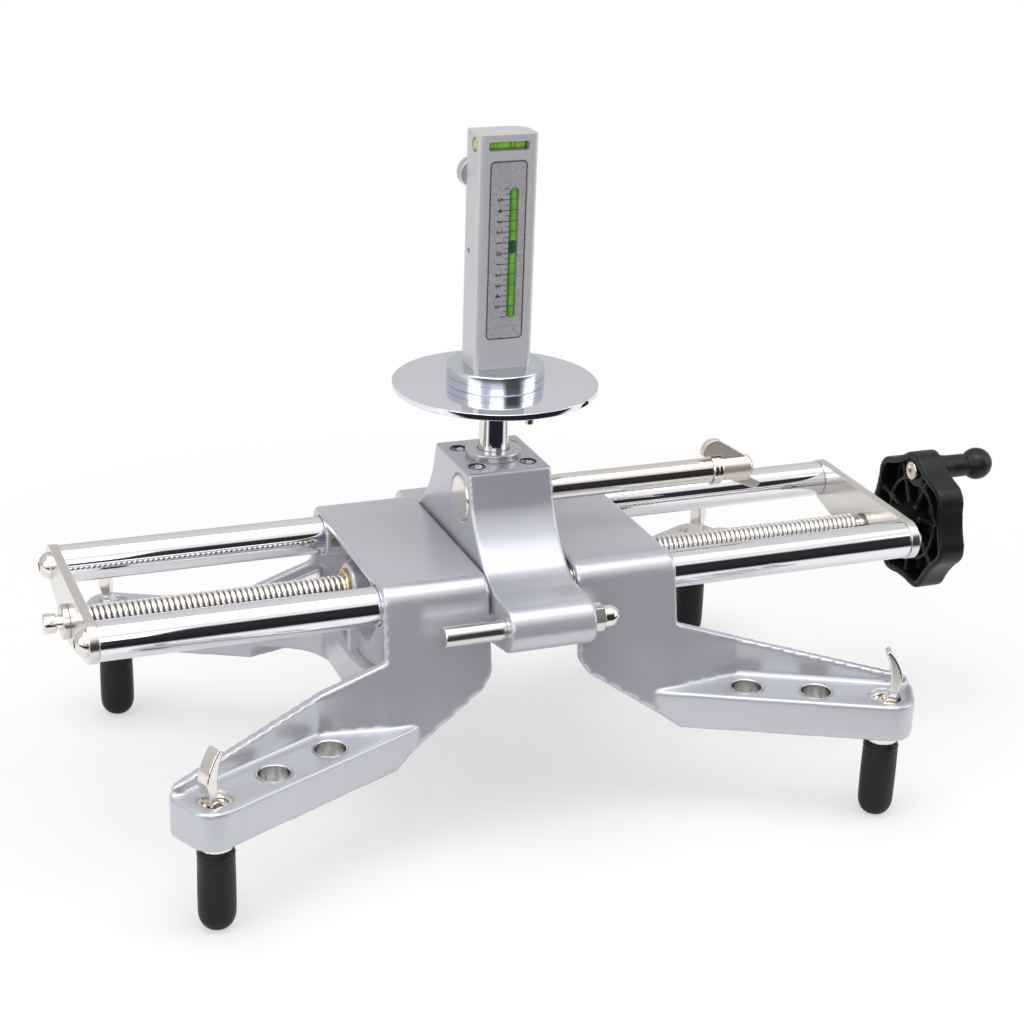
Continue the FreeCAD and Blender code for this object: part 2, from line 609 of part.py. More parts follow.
leftEnd = leftFace - plateThickness - bushFlangeThick - endNeck
collarTip = leftEnd - endCollarLength
collarFloor = collarTip + endCollarChamfer
screwRadius, journal = screwDia / 2, journalDia / 2
place(turned("lead_screw", "x", [
    (collarFloor, zero), (collarFloor, journal), (leftFace + screwGap, journal),
    (leftFace + screwGap, screwRadius), (rightFace - screwGap, screwRadius),
    (rightFace - screwGap, journal), (shaftEnd, journal), (shaftEnd, zero)]), z=screwHeight)
place(turned("screw_end_collar", "x", [
    (collarTip, zero), (collarTip, endCollarDia / 2 - endCollarChamfer), (collarFloor, endCollarDia / 2),
    (leftEnd, endCollarDia / 2), (leftEnd, journal + seatGap), (collarFloor, journal + seatGap),
    (collarFloor, zero)]), z=screwHeight)


# Head casting

def headCasting():
    body = newBody("head_casting")
    top, half = headTop, headTopDepth / 2
    shelf = noseHeight + noseRadius
    under = noseHeight - noseRadius
    flare, rise = noseReach - half, top - shelf
    (outHigh, high), (outMid, mid), (outLow, low) = [
        (half + flare * across, shelf + rise * up) for across, up in sweepShares]
    belly = half + flare * flareShare
    sketch = newSketch(body, "YZ_Plane", "Side")
    outline(sketch, [
        (half, top), (-half, top), (-outHigh, high, -sweepHigh), (-outMid, mid, -sweepLow), (-outLow, low),
        (-noseReach, shelf, noseRadius), (-noseReach - noseRadius, noseHeight, noseRadius),
        (-noseReach, under),
        (-belly, headFloor), (belly, headFloor), (noseReach, under, noseRadius),
        (noseReach + noseRadius, noseHeight, noseRadius), (noseReach, shelf), (outLow, low, -sweepLow),
        (outMid, mid, -sweepHigh), (outHigh, high)])
    pad(body, sketch, headWidth, midplane=True)
    rods = newSketch(body, "YZ_Plane", "RodBores", -headWidth / 2 - overrun)
    for y in (-rodY, rodY):
        circle(rods, y, rodHeight, rodRadius + seatGap)
    circle(rods, zero, screwHeight, screwRadius + faceGap + faceGap)
    for y in (-noseReach, noseReach):
        circle(rods, y, noseHeight, studThreadDia / 2 + seatGap)
    pocket(body, rods, headWidth + overrun + overrun, reversed=True)
    plug = newSketch(body, "YZ_Plane", "PlugBore", -headWidth / 2 - overrun)
    circle(plug, -lockSet, lockHeight, plugDia / 2 + seatGap)
    pocket(body, plug, plugLength + overrun + faceGap, reversed=True)
    lock = newSketch(body, "YZ_Plane", "LockBore", headWidth / 2 + overrun)
    circle(lock, -lockSet, lockHeight, lockThreadDia / 2 + runGap)
    pocket(body, lock, headWidth)
    bores = newSketch(body, "XY_Plane", "TopBores", headTop + overrun)
    circle(bores, zero, zero, bushingDia / 2 + seatGap)
    pocket(body, bores, bushingDepth + overrun + seatGap)
    spindle = newSketch(body, "XY_Plane", "SpindleBore", headTop + overrun)
    circle(spindle, zero, zero, spindleDia / 2 + runGap)
    pocket(body, spindle, spindleDepth + overrun + faceGap)
    holes = newSketch(body, "XY_Plane", "TopHoles", headTop + overrun)
    for x in (-1, 1):
        for y in (-1, 1):
            circle(holes, headHoleSpacing * x / 2, headHoleSpacing * y / 2, headHoleDia / 2)
    pocket(body, holes, headHoleDepth + overrun)
    grubs = newSketch(body, "XY_Plane", "GrubBores", headFloor - overrun)
    for y in (-rodY, rodY):
        circle(grubs, zero, y, grubDia / 2 + seatGap)
    pocket(body, grubs, rodHeight - headFloor, reversed=True)
    return body


headCasting()
grubTop = rodHeight - rodRadius - seatGap
turnedGroup("head_grub_screws", "z", [
    (grubTop - grubLength, zero), (grubTop - grubLength, grubDia / 2), (grubTop, grubDia / 2),
    (grubTop, zero)],
    [(zero, -rodY, zero), (zero, rodY, zero)])


def noseStud(label, y, outward):
    """A plain shank outside the nose, and a thread through it that carries the nut on the far side."""
    face = headWidth / 2
    tip = face + studLength
    far = face + nutThick + nutDomeLength / 2
    thread = studThreadDia / 2
    points = [
        (-far, zero), (-far, thread), (face, thread), (face, studDia / 2), (tip - studChamfer, studDia / 2),
        (tip, studDia / 2 - studChamfer), (tip, zero)]
    stud = turned(label, "x", points if outward > 0 else mirrored(points))
    return place(stud, zero, y, noseHeight)


def acornNut(label, y, outward):
    face = headWidth / 2
    body = newBody(label)
    hexagon = newSketch(body, "YZ_Plane", "Hexagon", face * outward)
    half, point = nutWide / 2, nutWide / root(asSize(3))
    outline(hexagon, [
        (point, zero), (point / 2, half), (-point / 2, half), (-point, zero), (-point / 2, -half),
        (point / 2, -half)])
    pad(body, hexagon, nutThick, reversed=outward < 0)
    dome = newSketch(body, "XZ_Plane", "Dome")
    start, end = face + nutThick, face + nutThick + nutDomeLength
    radius = nutDomeDia / 2
    straight = nutDomeLength - radius
    points = [(start - faceGap, zero), (end, zero, radius), (start + straight, radius),
    (start - faceGap, radius)]
    outline(dome, points if outward > 0 else mirrored(points))
    feature = body.newObject("PartDesign::Revolution", "Revolution")
    feature.Profile = dome
    feature.ReferenceAxis = (dome, ["H_Axis"])
    feature.Angle = 360
    bore = newSketch(body, "YZ_Plane", "Bore", face * outward - overrun * outward)
    circle(bore, zero, zero, studThreadDia / 2 + seatGap)
    pocket(body, bore, overrun + nutThick + nutDomeLength / 2 + faceGap, reversed=outward > 0)
    return place(body, zero, y, noseHeight)


noseStud("nose_stud_front", -noseReach, -1)
acornNut("acorn_nut_front", -noseReach, 1)
noseStud("nose_stud_rear", noseReach, 1)
acornNut("acorn_nut_rear", noseReach, -1)


# Lock: the plug is drawn against the spindle by the long rod

def cotterPlug():
    left = -headWidth / 2 - plugProud
    right = left + plugProud + plugLength
    radius, tap = plugDia / 2, lockThreadDia / 2 + runGap

    def scallop(body):
        cut = newSketch(body, "XY_Plane", "Scallop", -plugDia)
        circle(cut, zero, lockSet, spindleDia / 2 + runGap)
        pocket(body, cut, plugDia + plugDia, reversed=True)

    plug = turned("cotter_plug", "x", [
        (left, zero), (left, radius - rodChamfer), (left + rodChamfer, radius), (right, radius),
        (right, tap),
        (right - lockThreadIn, tap), (right - lockThreadIn, zero)], scallop)
    return place(plug, zero, -lockSet, lockHeight)


cotterPlug()
lockFace = headWidth / 2 + faceGap
neckEnd = lockFace + lockNeck
lockEnd = neckEnd + lockLength
wingStart = lockEnd + lockWasherThick
threadEnd = -headWidth / 2 + plugLength - lockThreadIn + faceGap
tipEnd = wingStart + wingLength * bladeShare
place(turned("lock_rod", "x", [
    (threadEnd, zero), (threadEnd, lockThreadDia / 2), (lockFace, lockThreadDia / 2),
    (lockFace, lockNeckDia / 2),
    (neckEnd, lockNeckDia / 2), (neckEnd, lockDia / 2), (lockEnd, lockDia / 2), (lockEnd, lockTipDia / 2),
    (tipEnd, lockTipDia / 2), (tipEnd, zero)]), zero, -lockSet, lockHeight)
place(turned("lock_washer", "x", [
    (lockEnd, lockTipDia / 2 + seatGap), (lockEnd, lockWasherDia / 2 - rodChamfer),
    (lockEnd + rodChamfer, lockWasherDia / 2), (wingStart - rodChamfer, lockWasherDia / 2),
    (wingStart, lockWasherDia / 2 - rodChamfer),
    (wingStart, lockTipDia / 2 + seatGap)]), zero, -lockSet, lockHeight)


def wingHead():
    """A barrel with two blades: a large one that leans back, and a small one that points on."""
    radius, tap = wingDia / 2, lockTipDia / 2 + seatGap
    end = wingStart + wingLength
    seat = (radius + tap) / 2
    clear = lockWasherDia / 2 + faceGap

    def wings(body):
        high = newSketch(body, "XZ_Plane", "WingHigh")
        middle = (lockEnd + wingBack, wingReach - wingTipHigh)
        foot, edge = tangent((end - rodChamfer, seat), zero, middle, wingTipHigh)
        chord = root(wingTipHigh * wingTipHigh - (middle[1] - clear) * (middle[1] - clear))
        outline(high, [
            (wingStart + faceGap, seat), foot, edge + (wingTipHigh,), (middle[0] - chord, clear),
            (wingStart + faceGap, clear)])
        pad(body, high, wingThick, midplane=True)
        low = newSketch(body, "XZ_Plane", "WingLow")
        middle = (end + wingOut, wingTipLow - wingReachLow)
        foot, edge = tangent((wingStart + wingTipLow, -seat), zero, middle, wingTipLow)
        outline(low, [
            (end - rodChamfer, -seat), foot, edge + (wingTipLow,), (middle[0] + wingTipLow, middle[1])])
        pad(body, low, wingThick, midplane=True)

    head = turned("lock_wing_head", "x", [
        (wingStart, tap), (wingStart, radius), (end - rodChamfer - rodChamfer, radius),
        (end, radius - rodChamfer - rodChamfer), (end, zero), (tipEnd + faceGap, zero),
        (tipEnd + faceGap, tap)], wings)
    return place(head, zero, -lockSet, lockHeight)


wingHead()


# Jaws: a bridge over the rods, a web inside it, and two arms

armBottom = armFloor - armThick
armCos = Size(math.cos(math.radians(armAngle.value)), f"cos({armAngle.text} * 1 deg)")
armSin = Size(math.sin(math.radians(armAngle.value)), f"sin({armAngle.text} * 1 deg)")
jawInner = headWidth / 2 + jawGap
jawEnd = jawInner + jawLength
openBush = jawEnd - jawLip - rodBushLength


def onArm(along, across, flip=1):
    """A point beside the row of holes: along it from the inner hole outwards, and across it inwards."""
    x = holeRootX + armCos * along + armSin * across
    y = -holeRootY - armSin * along + armCos * across
    return (x, y * flip)


def flipped(points, flip):
    """An outline mirrored to the other side of the rods, still running the same way round."""
    if flip > 0:
        return points
    count = len(points)
    result = []
    for index in range(count):
        point = points[(count - index) % count]
        before = points[(count - index - 1) % count]
        arc = (before[2],) if len(before) == 3 else ()
        result.append((point[0], -asSize(point[1])) + arc)
    return result


def wallAt(height):
    """Half width of the sloping wall's outer face at a height."""
    share = (jawShoulderHeight - height) / (jawShoulderHeight - armBottom)
    return jawShoulder / 2 + (jawBase - jawShoulder) / 2 * share


def alongAt(x, across):
    """How far along the row of holes a line beside it comes to some place along the rods."""
    return (x - holeRootX - armSin * across) / armCos


def ruledLoft(body, name, near, far):
    loft = body.newObject("PartDesign::AdditiveLoft", name)
    loft.Profile = near
    loft.Sections = [far]
    loft.Ruled = True
    doc.recompute()
    return loft


def jaw(label, turn):
    body = newBody(label)
    # The bridge: a flat top, rounded shoulders and two sloping walls
    shoulder, base = jawShoulder / 2, jawBase / 2
    half, inside = shoulder - jawRound, jawRound - jawWall
    bridge = newSketch(body, "YZ_Plane", "Bridge", jawInner)
    outline(bridge, [
        (half, jawTop), (-half, jawTop, jawRound), (-shoulder, jawShoulderHeight), (-base, armBottom),
        (-base + jawWall, armBottom), (-shoulder + jawWall, jawShoulderHeight, -inside),
        (-half, jawTop - jawWall),
        (half, jawTop - jawWall, -inside), (shoulder - jawWall, jawShoulderHeight),
        (base - jawWall, armBottom),
        (base, armBottom), (shoulder, jawShoulderHeight, jawRound)])
    pad(body, bridge, jawLength)
    doc.recompute()
    # The walls run on outwards, and bend in towards the ridges of the arms
    for flip in (1, -1):
        near = newSketch(body, "YZ_Plane", "WallNear", jawEnd)
        far = newSketch(body, "YZ_Plane", "WallFar", ridgeEndX)
        outline(near, flippedUp([
            (-wallAt(ridgeTop), ridgeTop), (-base, armBottom), (-base + jawWall, armBottom),
            (-wallAt(ridgeTop) + jawWall, ridgeTop)], flip))
        outline(far, flippedUp([
            (-ridgeEndY, ridgeHigh), (-ridgeEndY - ridgeLean, armBottom), (-ridgeEndY + jawWall, armBottom),
            (-ridgeEndY + jawWall, ridgeHigh)], flip))
        ruledLoft(body, "Wall", near, far)
    # Between them lies a saddle: its hollow top falls from the crests to a notch with a round end
    near = newSketch(body, "YZ_Plane", "SaddleNear", jawEnd - jawWall)
    far = newSketch(body, "YZ_Plane", "SaddleFar", ridgeEndX)
    for sketch, reach, foot, middle in (
            (near, wallAt(ridgeTop) - jawWall / 2, wallAt(saddleLow) - jawWall / 2, saddleHigh),
            (far, ridgeEndY - jawWall / 2, ridgeEndY - jawWall / 2, saddleEnd)):
        side = middle + saddleRound - root(saddleRound * saddleRound - reach * reach)
        outline(sketch, [
            (reach, side, -saddleRound), (-reach, side), (-foot, saddleLow), (foot, saddleLow)])
    ruledLoft(body, "Saddle", near, far)
    notchSide = holeRootY * armCos - holeRootX * armSin - ridgeFar
    notchHalf = (notchSide - notchRound + (jawEnd + notchRound) * armSin) / armCos
    middle = jawEnd + notchRound
    touchX, touchY = middle - notchRound * armSin, notchHalf + notchRound * armCos
    mouthX, mouthY = onArm(alongAt(ridgeEndX, ridgeFar) + overrun, ridgeFar)
    notch = newSketch(body, "XY_Plane", "Notch", saddleLow - overrun)
    outline(notch, [
        (jawEnd, notchHalf), (jawEnd, -notchHalf, notchRound), (touchX, -touchY), (mouthX, mouthY),
        (mouthX, -mouthY), (touchX, touchY, notchRound)])
    pocket(body, notch, ridgeTop - saddleLow + overrun + overrun, reversed=True)
    # The arms: a thick floor with a row of holes, and a ridge on its inner side
    tip = holePitch + holePitch
    nose = tip + armNose
    inward = -(holeRootX - armTipX) / armCos
    for flip in (1, -1):
        floor = newSketch(body, "XY_Plane", "ArmFloor", armBottom)
        tipPoint = onArm(inward, -armFront)
        outline(floor, flipped([
            tipPoint, onArm(nose - armNoseRound, -armFront) + (armNoseRound,),
            onArm(nose, -armFront + armNoseRound), onArm(nose, ridgeFar - armHeelRound) + (armHeelRound,),
            onArm(nose - armHeelRound, ridgeFar), onArm(alongAt(ridgeEndX, ridgeFar), ridgeFar),
            (ridgeEndX, -ridgeEndY + jawWall / 2), (jawEnd, -base + jawWall / 2)], flip))
        pad(body, floor, armThick)
        ridge = newSketch(body, "XY_Plane", "Ridge", armFloor - overrun)
        bend = alongAt(ridgeEndX, ridgeNear) - overrun
        outline(ridge, flipped([
            onArm(bend, ridgeNear), onArm(nose - armHeelRound, ridgeNear),
            onArm(nose - ridgeTipSet, (ridgeNear + ridgeFar) / 2), onArm(nose - armHeelRound, ridgeFar),
            onArm(bend, ridgeFar)], flip))
        pad(body, ridge, ridgeHigh - armFloor + overrun)
    doc.recompute()
    slope = newSketch(body, "XZ_Plane", "RidgeSlope")
    endX = onArm(nose, ridgeFar)[0]
    outline(slope, [
        (ridgeEndX, ridgeHigh), (endX, ridgeLow), (endX + overrun, ridgeLow), (endX + overrun, ridgeTop),
        (ridgeEndX, ridgeTop)])
    pocket(body, slope, jawBase + jawBase, midplane=True)
    # The lower edges rise towards the head, and the top rolls down at the open end
    rise = newSketch(body, "XZ_Plane", "LowerEdge")
    outline(rise, [
        (jawInner - overrun, armBottom - overrun), (armTipX + jawWall, armBottom - overrun),
        (armTipX + jawWall, armBottom), (jawInner + jawCornerRound, jawCornerHeight - jawCornerRound / 2),
        (jawInner, jawCornerHeight + jawCornerRound),
        (jawInner - overrun, jawCornerHeight + jawCornerRound)])
    pocket(body, rise, jawBase + jawBase, midplane=True)
    lip = newSketch(body, "XZ_Plane", "Lip")
    outline(lip, [
        (jawEnd - jawLip, jawTop, -jawLip), (jawEnd, jawTop - jawLip), (jawEnd + overrun, jawTop - jawLip),
        (jawEnd + overrun, jawTop + overrun), (jawEnd - jawLip, jawTop + overrun)])
    pocket(body, lip, jawBase + jawBase, midplane=True)
    # The web and the bosses inside
    web = newSketch(body, "YZ_Plane", "Web", jawEnd - webSet - webThick)
    innerTop = jawTop - jawWall / 2
    outline(web, [
        (half, innerTop), (-half, innerTop), (-shoulder + jawWall / 2, jawShoulderHeight),
        (-wallAt(webFloor) + jawWall / 2, webFloor), (wallAt(webFloor) - jawWall / 2, webFloor),
        (shoulder - jawWall / 2, jawShoulderHeight)])
    pad(body, web, webThick)
    bosses = newSketch(body, "YZ_Plane", "RodBosses", jawInner)
    for y in (-rodY, rodY):
        circle(bosses, y, rodHeight, rodBossDia / 2)
    pad(body, bosses, jawLength)
    nutBoss = newSketch(body, "YZ_Plane", "NutBoss", jawEnd - webSet - webThick)
    circle(nutBoss, zero, screwHeight, nutBossDia / 2)
    pad(body, nutBoss, webSet + webThick)
    # Bores
    bores = newSketch(body, "YZ_Plane", "RodBores", jawInner - overrun)
    for y in (-rodY, rodY):
        circle(bores, y, rodHeight, rodRadius + runGap + faceGap)
    pocket(body, bores, jawLength + overrun + overrun, reversed=True)
    for start, length in ((jawInner - overrun, rodBushLength + overrun), (openBush, rodBushLength)):
        seats = newSketch(body, "YZ_Plane", "BushSeats", start)
        for y in (-rodY, rodY):
            circle(seats, y, rodHeight, rodRadius + runGap + rodBushWall + seatGap)
        pocket(body, seats, length, reversed=True)
    nutSeat = newSketch(body, "YZ_Plane", "NutSeat", jawEnd - webSet - webThick - overrun)
    circle(nutSeat, zero, screwHeight, nutBarrelDia / 2 + seatGap)
    pocket(body, nutSeat, webSet + webThick + overrun + overrun, reversed=True)
    holes = newSketch(body, "XY_Plane", "ArmHoles", armBottom - overrun)
    for flip in (1, -1):
        for step in range(3):
            spot = onArm(holePitch * step, zero, flip)
            circle(holes, spot[0], spot[1], holeDia / 2)
    pocket(body, holes, armThick + overrun + overrun, reversed=True)
    return place(body, turn=turn)


def flippedUp(points, flip):
    """A section mirrored to the other side, with its points in the same order for a loft."""
    return [(asSize(point[0]) * flip, point[1]) for point in points]


def jawTurn(sign):
    return 180 if sign < 0 else 0


bushInner = rodRadius + runGap
bushRing = [
    (zero, bushInner), (rodBushLength, bushInner), (rodBushLength, bushInner + rodBushWall),
    (zero, bushInner + rodBushWall)]
nutBore = screwRadius + runGap
for side, sign in sides:
    jaw(f"jaw_{side}", jawTurn(sign))
    bushes = turnedGroup(f"rod_bushes_{side}", "x", bushRing, [
        (x, y, rodHeight) for x in (jawInner, openBush) for y in (-rodY, rodY)])
    place(bushes, turn=jawTurn(sign))
    place(turned(f"screw_nut_{side}", "x", [
        (jawEnd - nutBarrelLength, nutBore), (jawEnd + nutFlangeThick, nutBore),
        (jawEnd + nutFlangeThick, nutFlangeDia / 2), (jawEnd, nutFlangeDia / 2), (jawEnd, nutBarrelDia / 2),
        (jawEnd - nutBarrelLength, nutBarrelDia / 2)]), z=screwHeight, turn=jawTurn(sign))


# Claws in the outer holes, their retaining rings and rubber sleeves

ringLow = armFloor - ringSet - ringThick
pinTop = ringLow - faceGap
collarLow = armBottom - clawCollarHeight


def claw(label):
    pin, collar, stem = holeDia / 2 - runGap, clawCollarDia / 2, clawStemDia / 2

    def blade(body):
        sketch = newSketch(body, "XZ_Plane", "Blade")
        foot = pinTop - overrun
        knee = pinTop + clawBladeBend
        outline(sketch, [
            (-clawBladeHeel, foot), (clawBladeFoot, foot), (clawBladeFoot, armFloor + faceGap),
            (clawBladeOut, knee, clawBladeBend * 2), (clawTip - clawHook, clawBladeHigh),
            (-clawHook, clawBladeHigh - clawTip, -clawBladeBend * 2), (clawBladeIn, knee),
            (clawBladeIn, armFloor + clawBladeHeel)])
        pad(body, sketch, clawBladeWide, midplane=True)

    return turned(label, "z", [
        (collarLow - clawStemLength, zero), (collarLow - clawStemLength, stem), (collarLow, stem),
        (collarLow, collar),
        (armBottom, collar), (armBottom, pin), (pinTop, pin), (pinTop, zero)], blade)


def fingerSleeve(label):
    top, outer, inner = sleeveTopDia / 2, sleeveDia / 2, clawStemDia / 2 + seatGap
    round = sleeveRound
    floor = collarLow - clawStemLength - seatGap
    return turned(label, "z", [
        (zero, zero), (zero, outer - round, -round), (round, outer), (collarLow, top), (collarLow, inner),
        (floor, inner), (floor, zero)])


tip = onArm(holePitch * 2, zero)
for side, sign in sides:
    for end, back in (("front", -1), ("rear", 1)):
        x, y = tip[0] * sign, tip[1] * -back
        lean = armAngle * sign * back
        angle = 180 + lean if sign < 0 else lean
        outerRing = holeDia / 2 - seatGap
        place(claw(f"claw_{side}_{end}"), x, y, turn=angle)
        place(turned(f"claw_ring_{side}_{end}", "z", [
            (ringLow, outerRing - ringWide), (ringLow, outerRing), (ringLow + ringThick, outerRing),
            (ringLow + ringThick, outerRing - ringWide)]), x, y)
        place(fingerSleeve(f"finger_sleeve_{side}_{end}"), x, y)


# Spindle and its bushing, the disc, and what holds it

spindleFoot = headTop - spindleDepth
discFloor = discTop - discThick
spindleRadius, spindleNeck = spindleDia / 2, spindleNeckDia / 2
discTap = discScrewDia / 2 + seatGap
taperLow = headTop + flangeThick + flangeThick
place(turned("spindle", "z", [
    (spindleFoot, zero), (spindleFoot, spindleRadius - rodChamfer),
    (spindleFoot + rodChamfer, spindleRadius),
    (taperLow, spindleRadius), (discFloor - (discFloor - taperLow) / 2, spindleNeck),
    (discFloor, spindleNeck),
    (discFloor, discTap), (discTop - discScrewLength - faceGap, discTap),
    (discTop - discScrewLength - faceGap, zero)]))
bushingBore = spindleRadius + runGap
place(turned("spindle_bushing", "z", [
    (headTop - bushingDepth, bushingBore), (headTop - bushingDepth, bushingDia / 2),
    (headTop, bushingDia / 2),
    (headTop, flangeDia / 2), (headTop + flangeThick - rodChamfer, flangeDia / 2),
    (headTop + flangeThick, flangeDia / 2 - rodChamfer), (headTop + flangeThick, bushingBore)]))


def targetDisc():
    sunk = discScrewHead + faceGap

    def pinSeat(body):
        seat = newSketch(body, "XY_Plane", "PinSeat", discFloor - overrun)
        circle(seat, zero, -discPinReach, discPinDia / 2 + seatGap)
        pocket(body, seat, overrun + discThick / 2 + seatGap, reversed=True)

    return turned("target_disc", "z", [
        (discFloor, discTap), (discFloor, discDia / 2 - discEdge), (discFloor + discEdge, discDia / 2),
        (discTop - discEdge, discDia / 2), (discTop, discDia / 2 - discEdge), (discTop, discTap + sunk),
        (discTop - sunk, discTap)], pinSeat)


targetDisc()
screwTop = discTop - faceGap
place(turned("disc_screw", "z", [
    (discTop - discScrewLength, zero), (discTop - discScrewLength, discScrewDia / 2),
    (screwTop - discScrewHead, discScrewDia / 2), (screwTop, discScrewDia / 2 + discScrewHead),
    (screwTop, capSocketWide / 2), (screwTop - discScrewHead, capSocketWide / 2),
    (screwTop - discScrewHead, zero)]))
place(turned("disc_pin", "z", [
    (discFloor - discPinLength, zero), (discFloor - discPinLength, discPinDia / 2),
    (discFloor + discThick / 2, discPinDia / 2), (discFloor + discThick / 2, zero)]), zero, -discPinReach)


# Hand wheel: lobes all round, open at the back, with a hub, a ring and ribs; and its crank

lobes = 7
hubEnd = wheelSet - bushFlangeThick - faceGap


def aimed(reach, turnShare):
    """A point at some reach from the middle, at a share of a whole turn past the top."""
    degrees = 90 + 360 * turnShare
    cosine = Size(math.cos(math.radians(degrees)), f"cos({degrees:.9g} * 1 deg)")
    sine = Size(math.sin(math.radians(degrees)), f"sin({degrees:.9g} * 1 deg)")
    return (asSize(reach) * cosine, asSize(reach) * sine)


def lobed(sketch, inset):
    """Round lobes and shallow valleys that touch them, all drawn in by the inset."""
    halfTurn = Size(math.cos(math.pi / lobes), f"cos(180 deg / {lobes})")
    centre = wheelLobe - lobeRound
    hollow = (centre * centre + wheelValley * wheelValley - centre * wheelValley * halfTurn * 2
              - lobeRound * lobeRound) / ((lobeRound + centre * halfTurn - wheelValley) * 2)
    points = []
    share = lobeRound / (lobeRound + hollow)
    radius, bend = lobeRound - inset, hollow + inset
    for lobe in range(lobes):
        c = aimed(centre, lobe / lobes)
        for half, arc in ((-halfLobeShare, radius), (halfLobeShare, -bend)):
            d = aimed(wheelValley + hollow, (lobe + half) / lobes)
            touch = [c[i] + (d[i] - c[i]) * share * radius / lobeRound for i in range(2)]
            points.append((touch[0], touch[1], arc))
    return outline(sketch, points)


def handWheel():
    body = newBody("hand_wheel")
    lobed(newSketch(body, "YZ_Plane", "Outline"), zero)
    pad(body, body.Group[-1], wheelThick)
    lobed(newSketch(body, "YZ_Plane", "Hollow", -overrun), wheelWall)
    pocket(body, body.Group[-1], wheelThick - wheelFace + overrun, reversed=True)
    inside = wheelThick - wheelFace / 2
    hub = newSketch(body, "YZ_Plane", "Hub", -hubEnd)
    circle(hub, zero, zero, wheelHubDia / 2)
    pad(body, hub, hubEnd + inside)
    ring = newSketch(body, "YZ_Plane", "Ring", wheelRibSink)
    circle(ring, zero, zero, wheelRing)
    circle(ring, zero, zero, wheelRing - wheelRib)
    pad(body, ring, inside - wheelRibSink)
    ribs = newSketch(body, "YZ_Plane", "Ribs", wheelRibSink)
    for rib in range(lobes):
        share = (rib + halfLobeShare) / lobes
        along, across = aimed(1, share), aimed(wheelRib / 2, share + quarterTurnShare)
        near, far = wheelHubDia / 2 - wheelRib / 2, wheelValley - wheelWall / 2
        outline(ribs, [
            tuple(along[i] * reach + across[i] * side for i in range(2))
            for reach, side in ((near, -1), (far, -1), (far, 1), (near, 1))])
    pad(body, ribs, inside - wheelRibSink)
    boss = newSketch(body, "YZ_Plane", "CrankBoss", crankHeadThick)
    circle(boss, zero, crankReach, crankBoss)
    pad(body, boss, inside - crankHeadThick)
    bores = newSketch(body, "YZ_Plane", "Bores", -hubEnd - overrun)
    circle(bores, zero, zero, journal + seatGap)
    circle(bores, zero, crankReach, crankScrewDia / 2 + seatGap)
    pocket(body, bores, hubEnd + wheelThick + overrun + overrun, reversed=True)
    return place(body, wheelBack, zero, screwHeight)


handWheel()


def hexNut():
    body = newBody("hand_wheel_nut")
    sketch = newSketch(body, "YZ_Plane", "Hexagon")
    half, point = wheelNutWide / 2, wheelNutWide / root(asSize(3))
    outline(sketch, [
        (point, zero), (point / 2, half), (-point / 2, half), (-point, zero), (-point / 2, -half),
        (point / 2, -half)])
    circle(sketch, zero, zero, journal + seatGap)
    pad(body, sketch, wheelNutThick)
    return place(body, wheelFront, zero, screwHeight)


hexNut()
crankZ = screwHeight + crankReach
crankShank = crankScrewDia / 2
crankEnd = wheelThick + faceGap + crankScrewDepth
place(turned("crank_screw", "x", [
    (zero, crankShank - rodChamfer), (zero, crankHeadDia / 2), (crankHeadThick, crankHeadDia / 2),
    (crankHeadThick, crankShank), (crankEnd, crankShank), (crankEnd, zero),
    (crankHeadThick - rodChamfer, zero),
    (crankHeadThick - rodChamfer, crankShank - rodChamfer)]), wheelBack, zero, crankZ)
ballMeet = root(crankBallDia * crankBallDia / 4 - crankStemDia * crankStemDia / 4)
place(turned("crank_handle", "x", [
    (faceGap, crankShank + runGap), (faceGap, crankStemDia / 2 - rodChamfer),
    (faceGap + rodChamfer, crankStemDia / 2),
    (crankBallSet - ballMeet, crankStemDia / 2, -crankBallDia / 2),
    (crankBallSet, crankBallDia / 2, -crankBallDia / 2), (crankBallSet + crankBallDia / 2, zero),
    (crankScrewDepth + faceGap + faceGap, zero),
    (crankScrewDepth + faceGap + faceGap, crankShank + runGap)]),
    wheelFront, zero, crankZ)


# Gauge: a magnet base, the body with its vials and scale plates, and the trim knob behind

gaugeFoot = discTop + magnetHeight
gaugeFront, gaugeRear = -gaugeDepth / 2, gaugeDepth / 2
place(turned("magnet_base", "z", [
    (zero, gaugeScrewHeadDia / 2 + seatGap), (zero, magnetDia / 2 - magnetEdge),
    (magnetEdge, magnetDia / 2),
    (magnetHeight - magnetEdge, magnetDia / 2), (magnetHeight, magnetDia / 2 - magnetEdge),
    (magnetHeight, gaugeScrewDia / 2 + seatGap), (gaugeScrewHead + faceGap, gaugeScrewDia / 2 + seatGap),
    (gaugeScrewHead + faceGap, gaugeScrewHeadDia / 2 + seatGap)]), z=discTop)
place(turned("gauge_screw", "z", [
    (faceGap, zero), (faceGap, gaugeScrewHeadDia / 2), (faceGap + gaugeScrewHead, gaugeScrewHeadDia / 2),
    (faceGap + gaugeScrewHead, gaugeScrewDia / 2), (magnetHeight + gaugeScrewDepth, gaugeScrewDia / 2),
    (magnetHeight + gaugeScrewDepth, zero)]), z=discTop)


def slab(sketch, left, right, low, high, round):
    """A rectangle with round corners."""
    return outline(sketch, [
        (left + round, low), (right - round, low, round), (right, low + round),
        (right, high - round, round),
        (right - round, high), (left + round, high, round), (left, high - round),
        (left, low + round, round)])


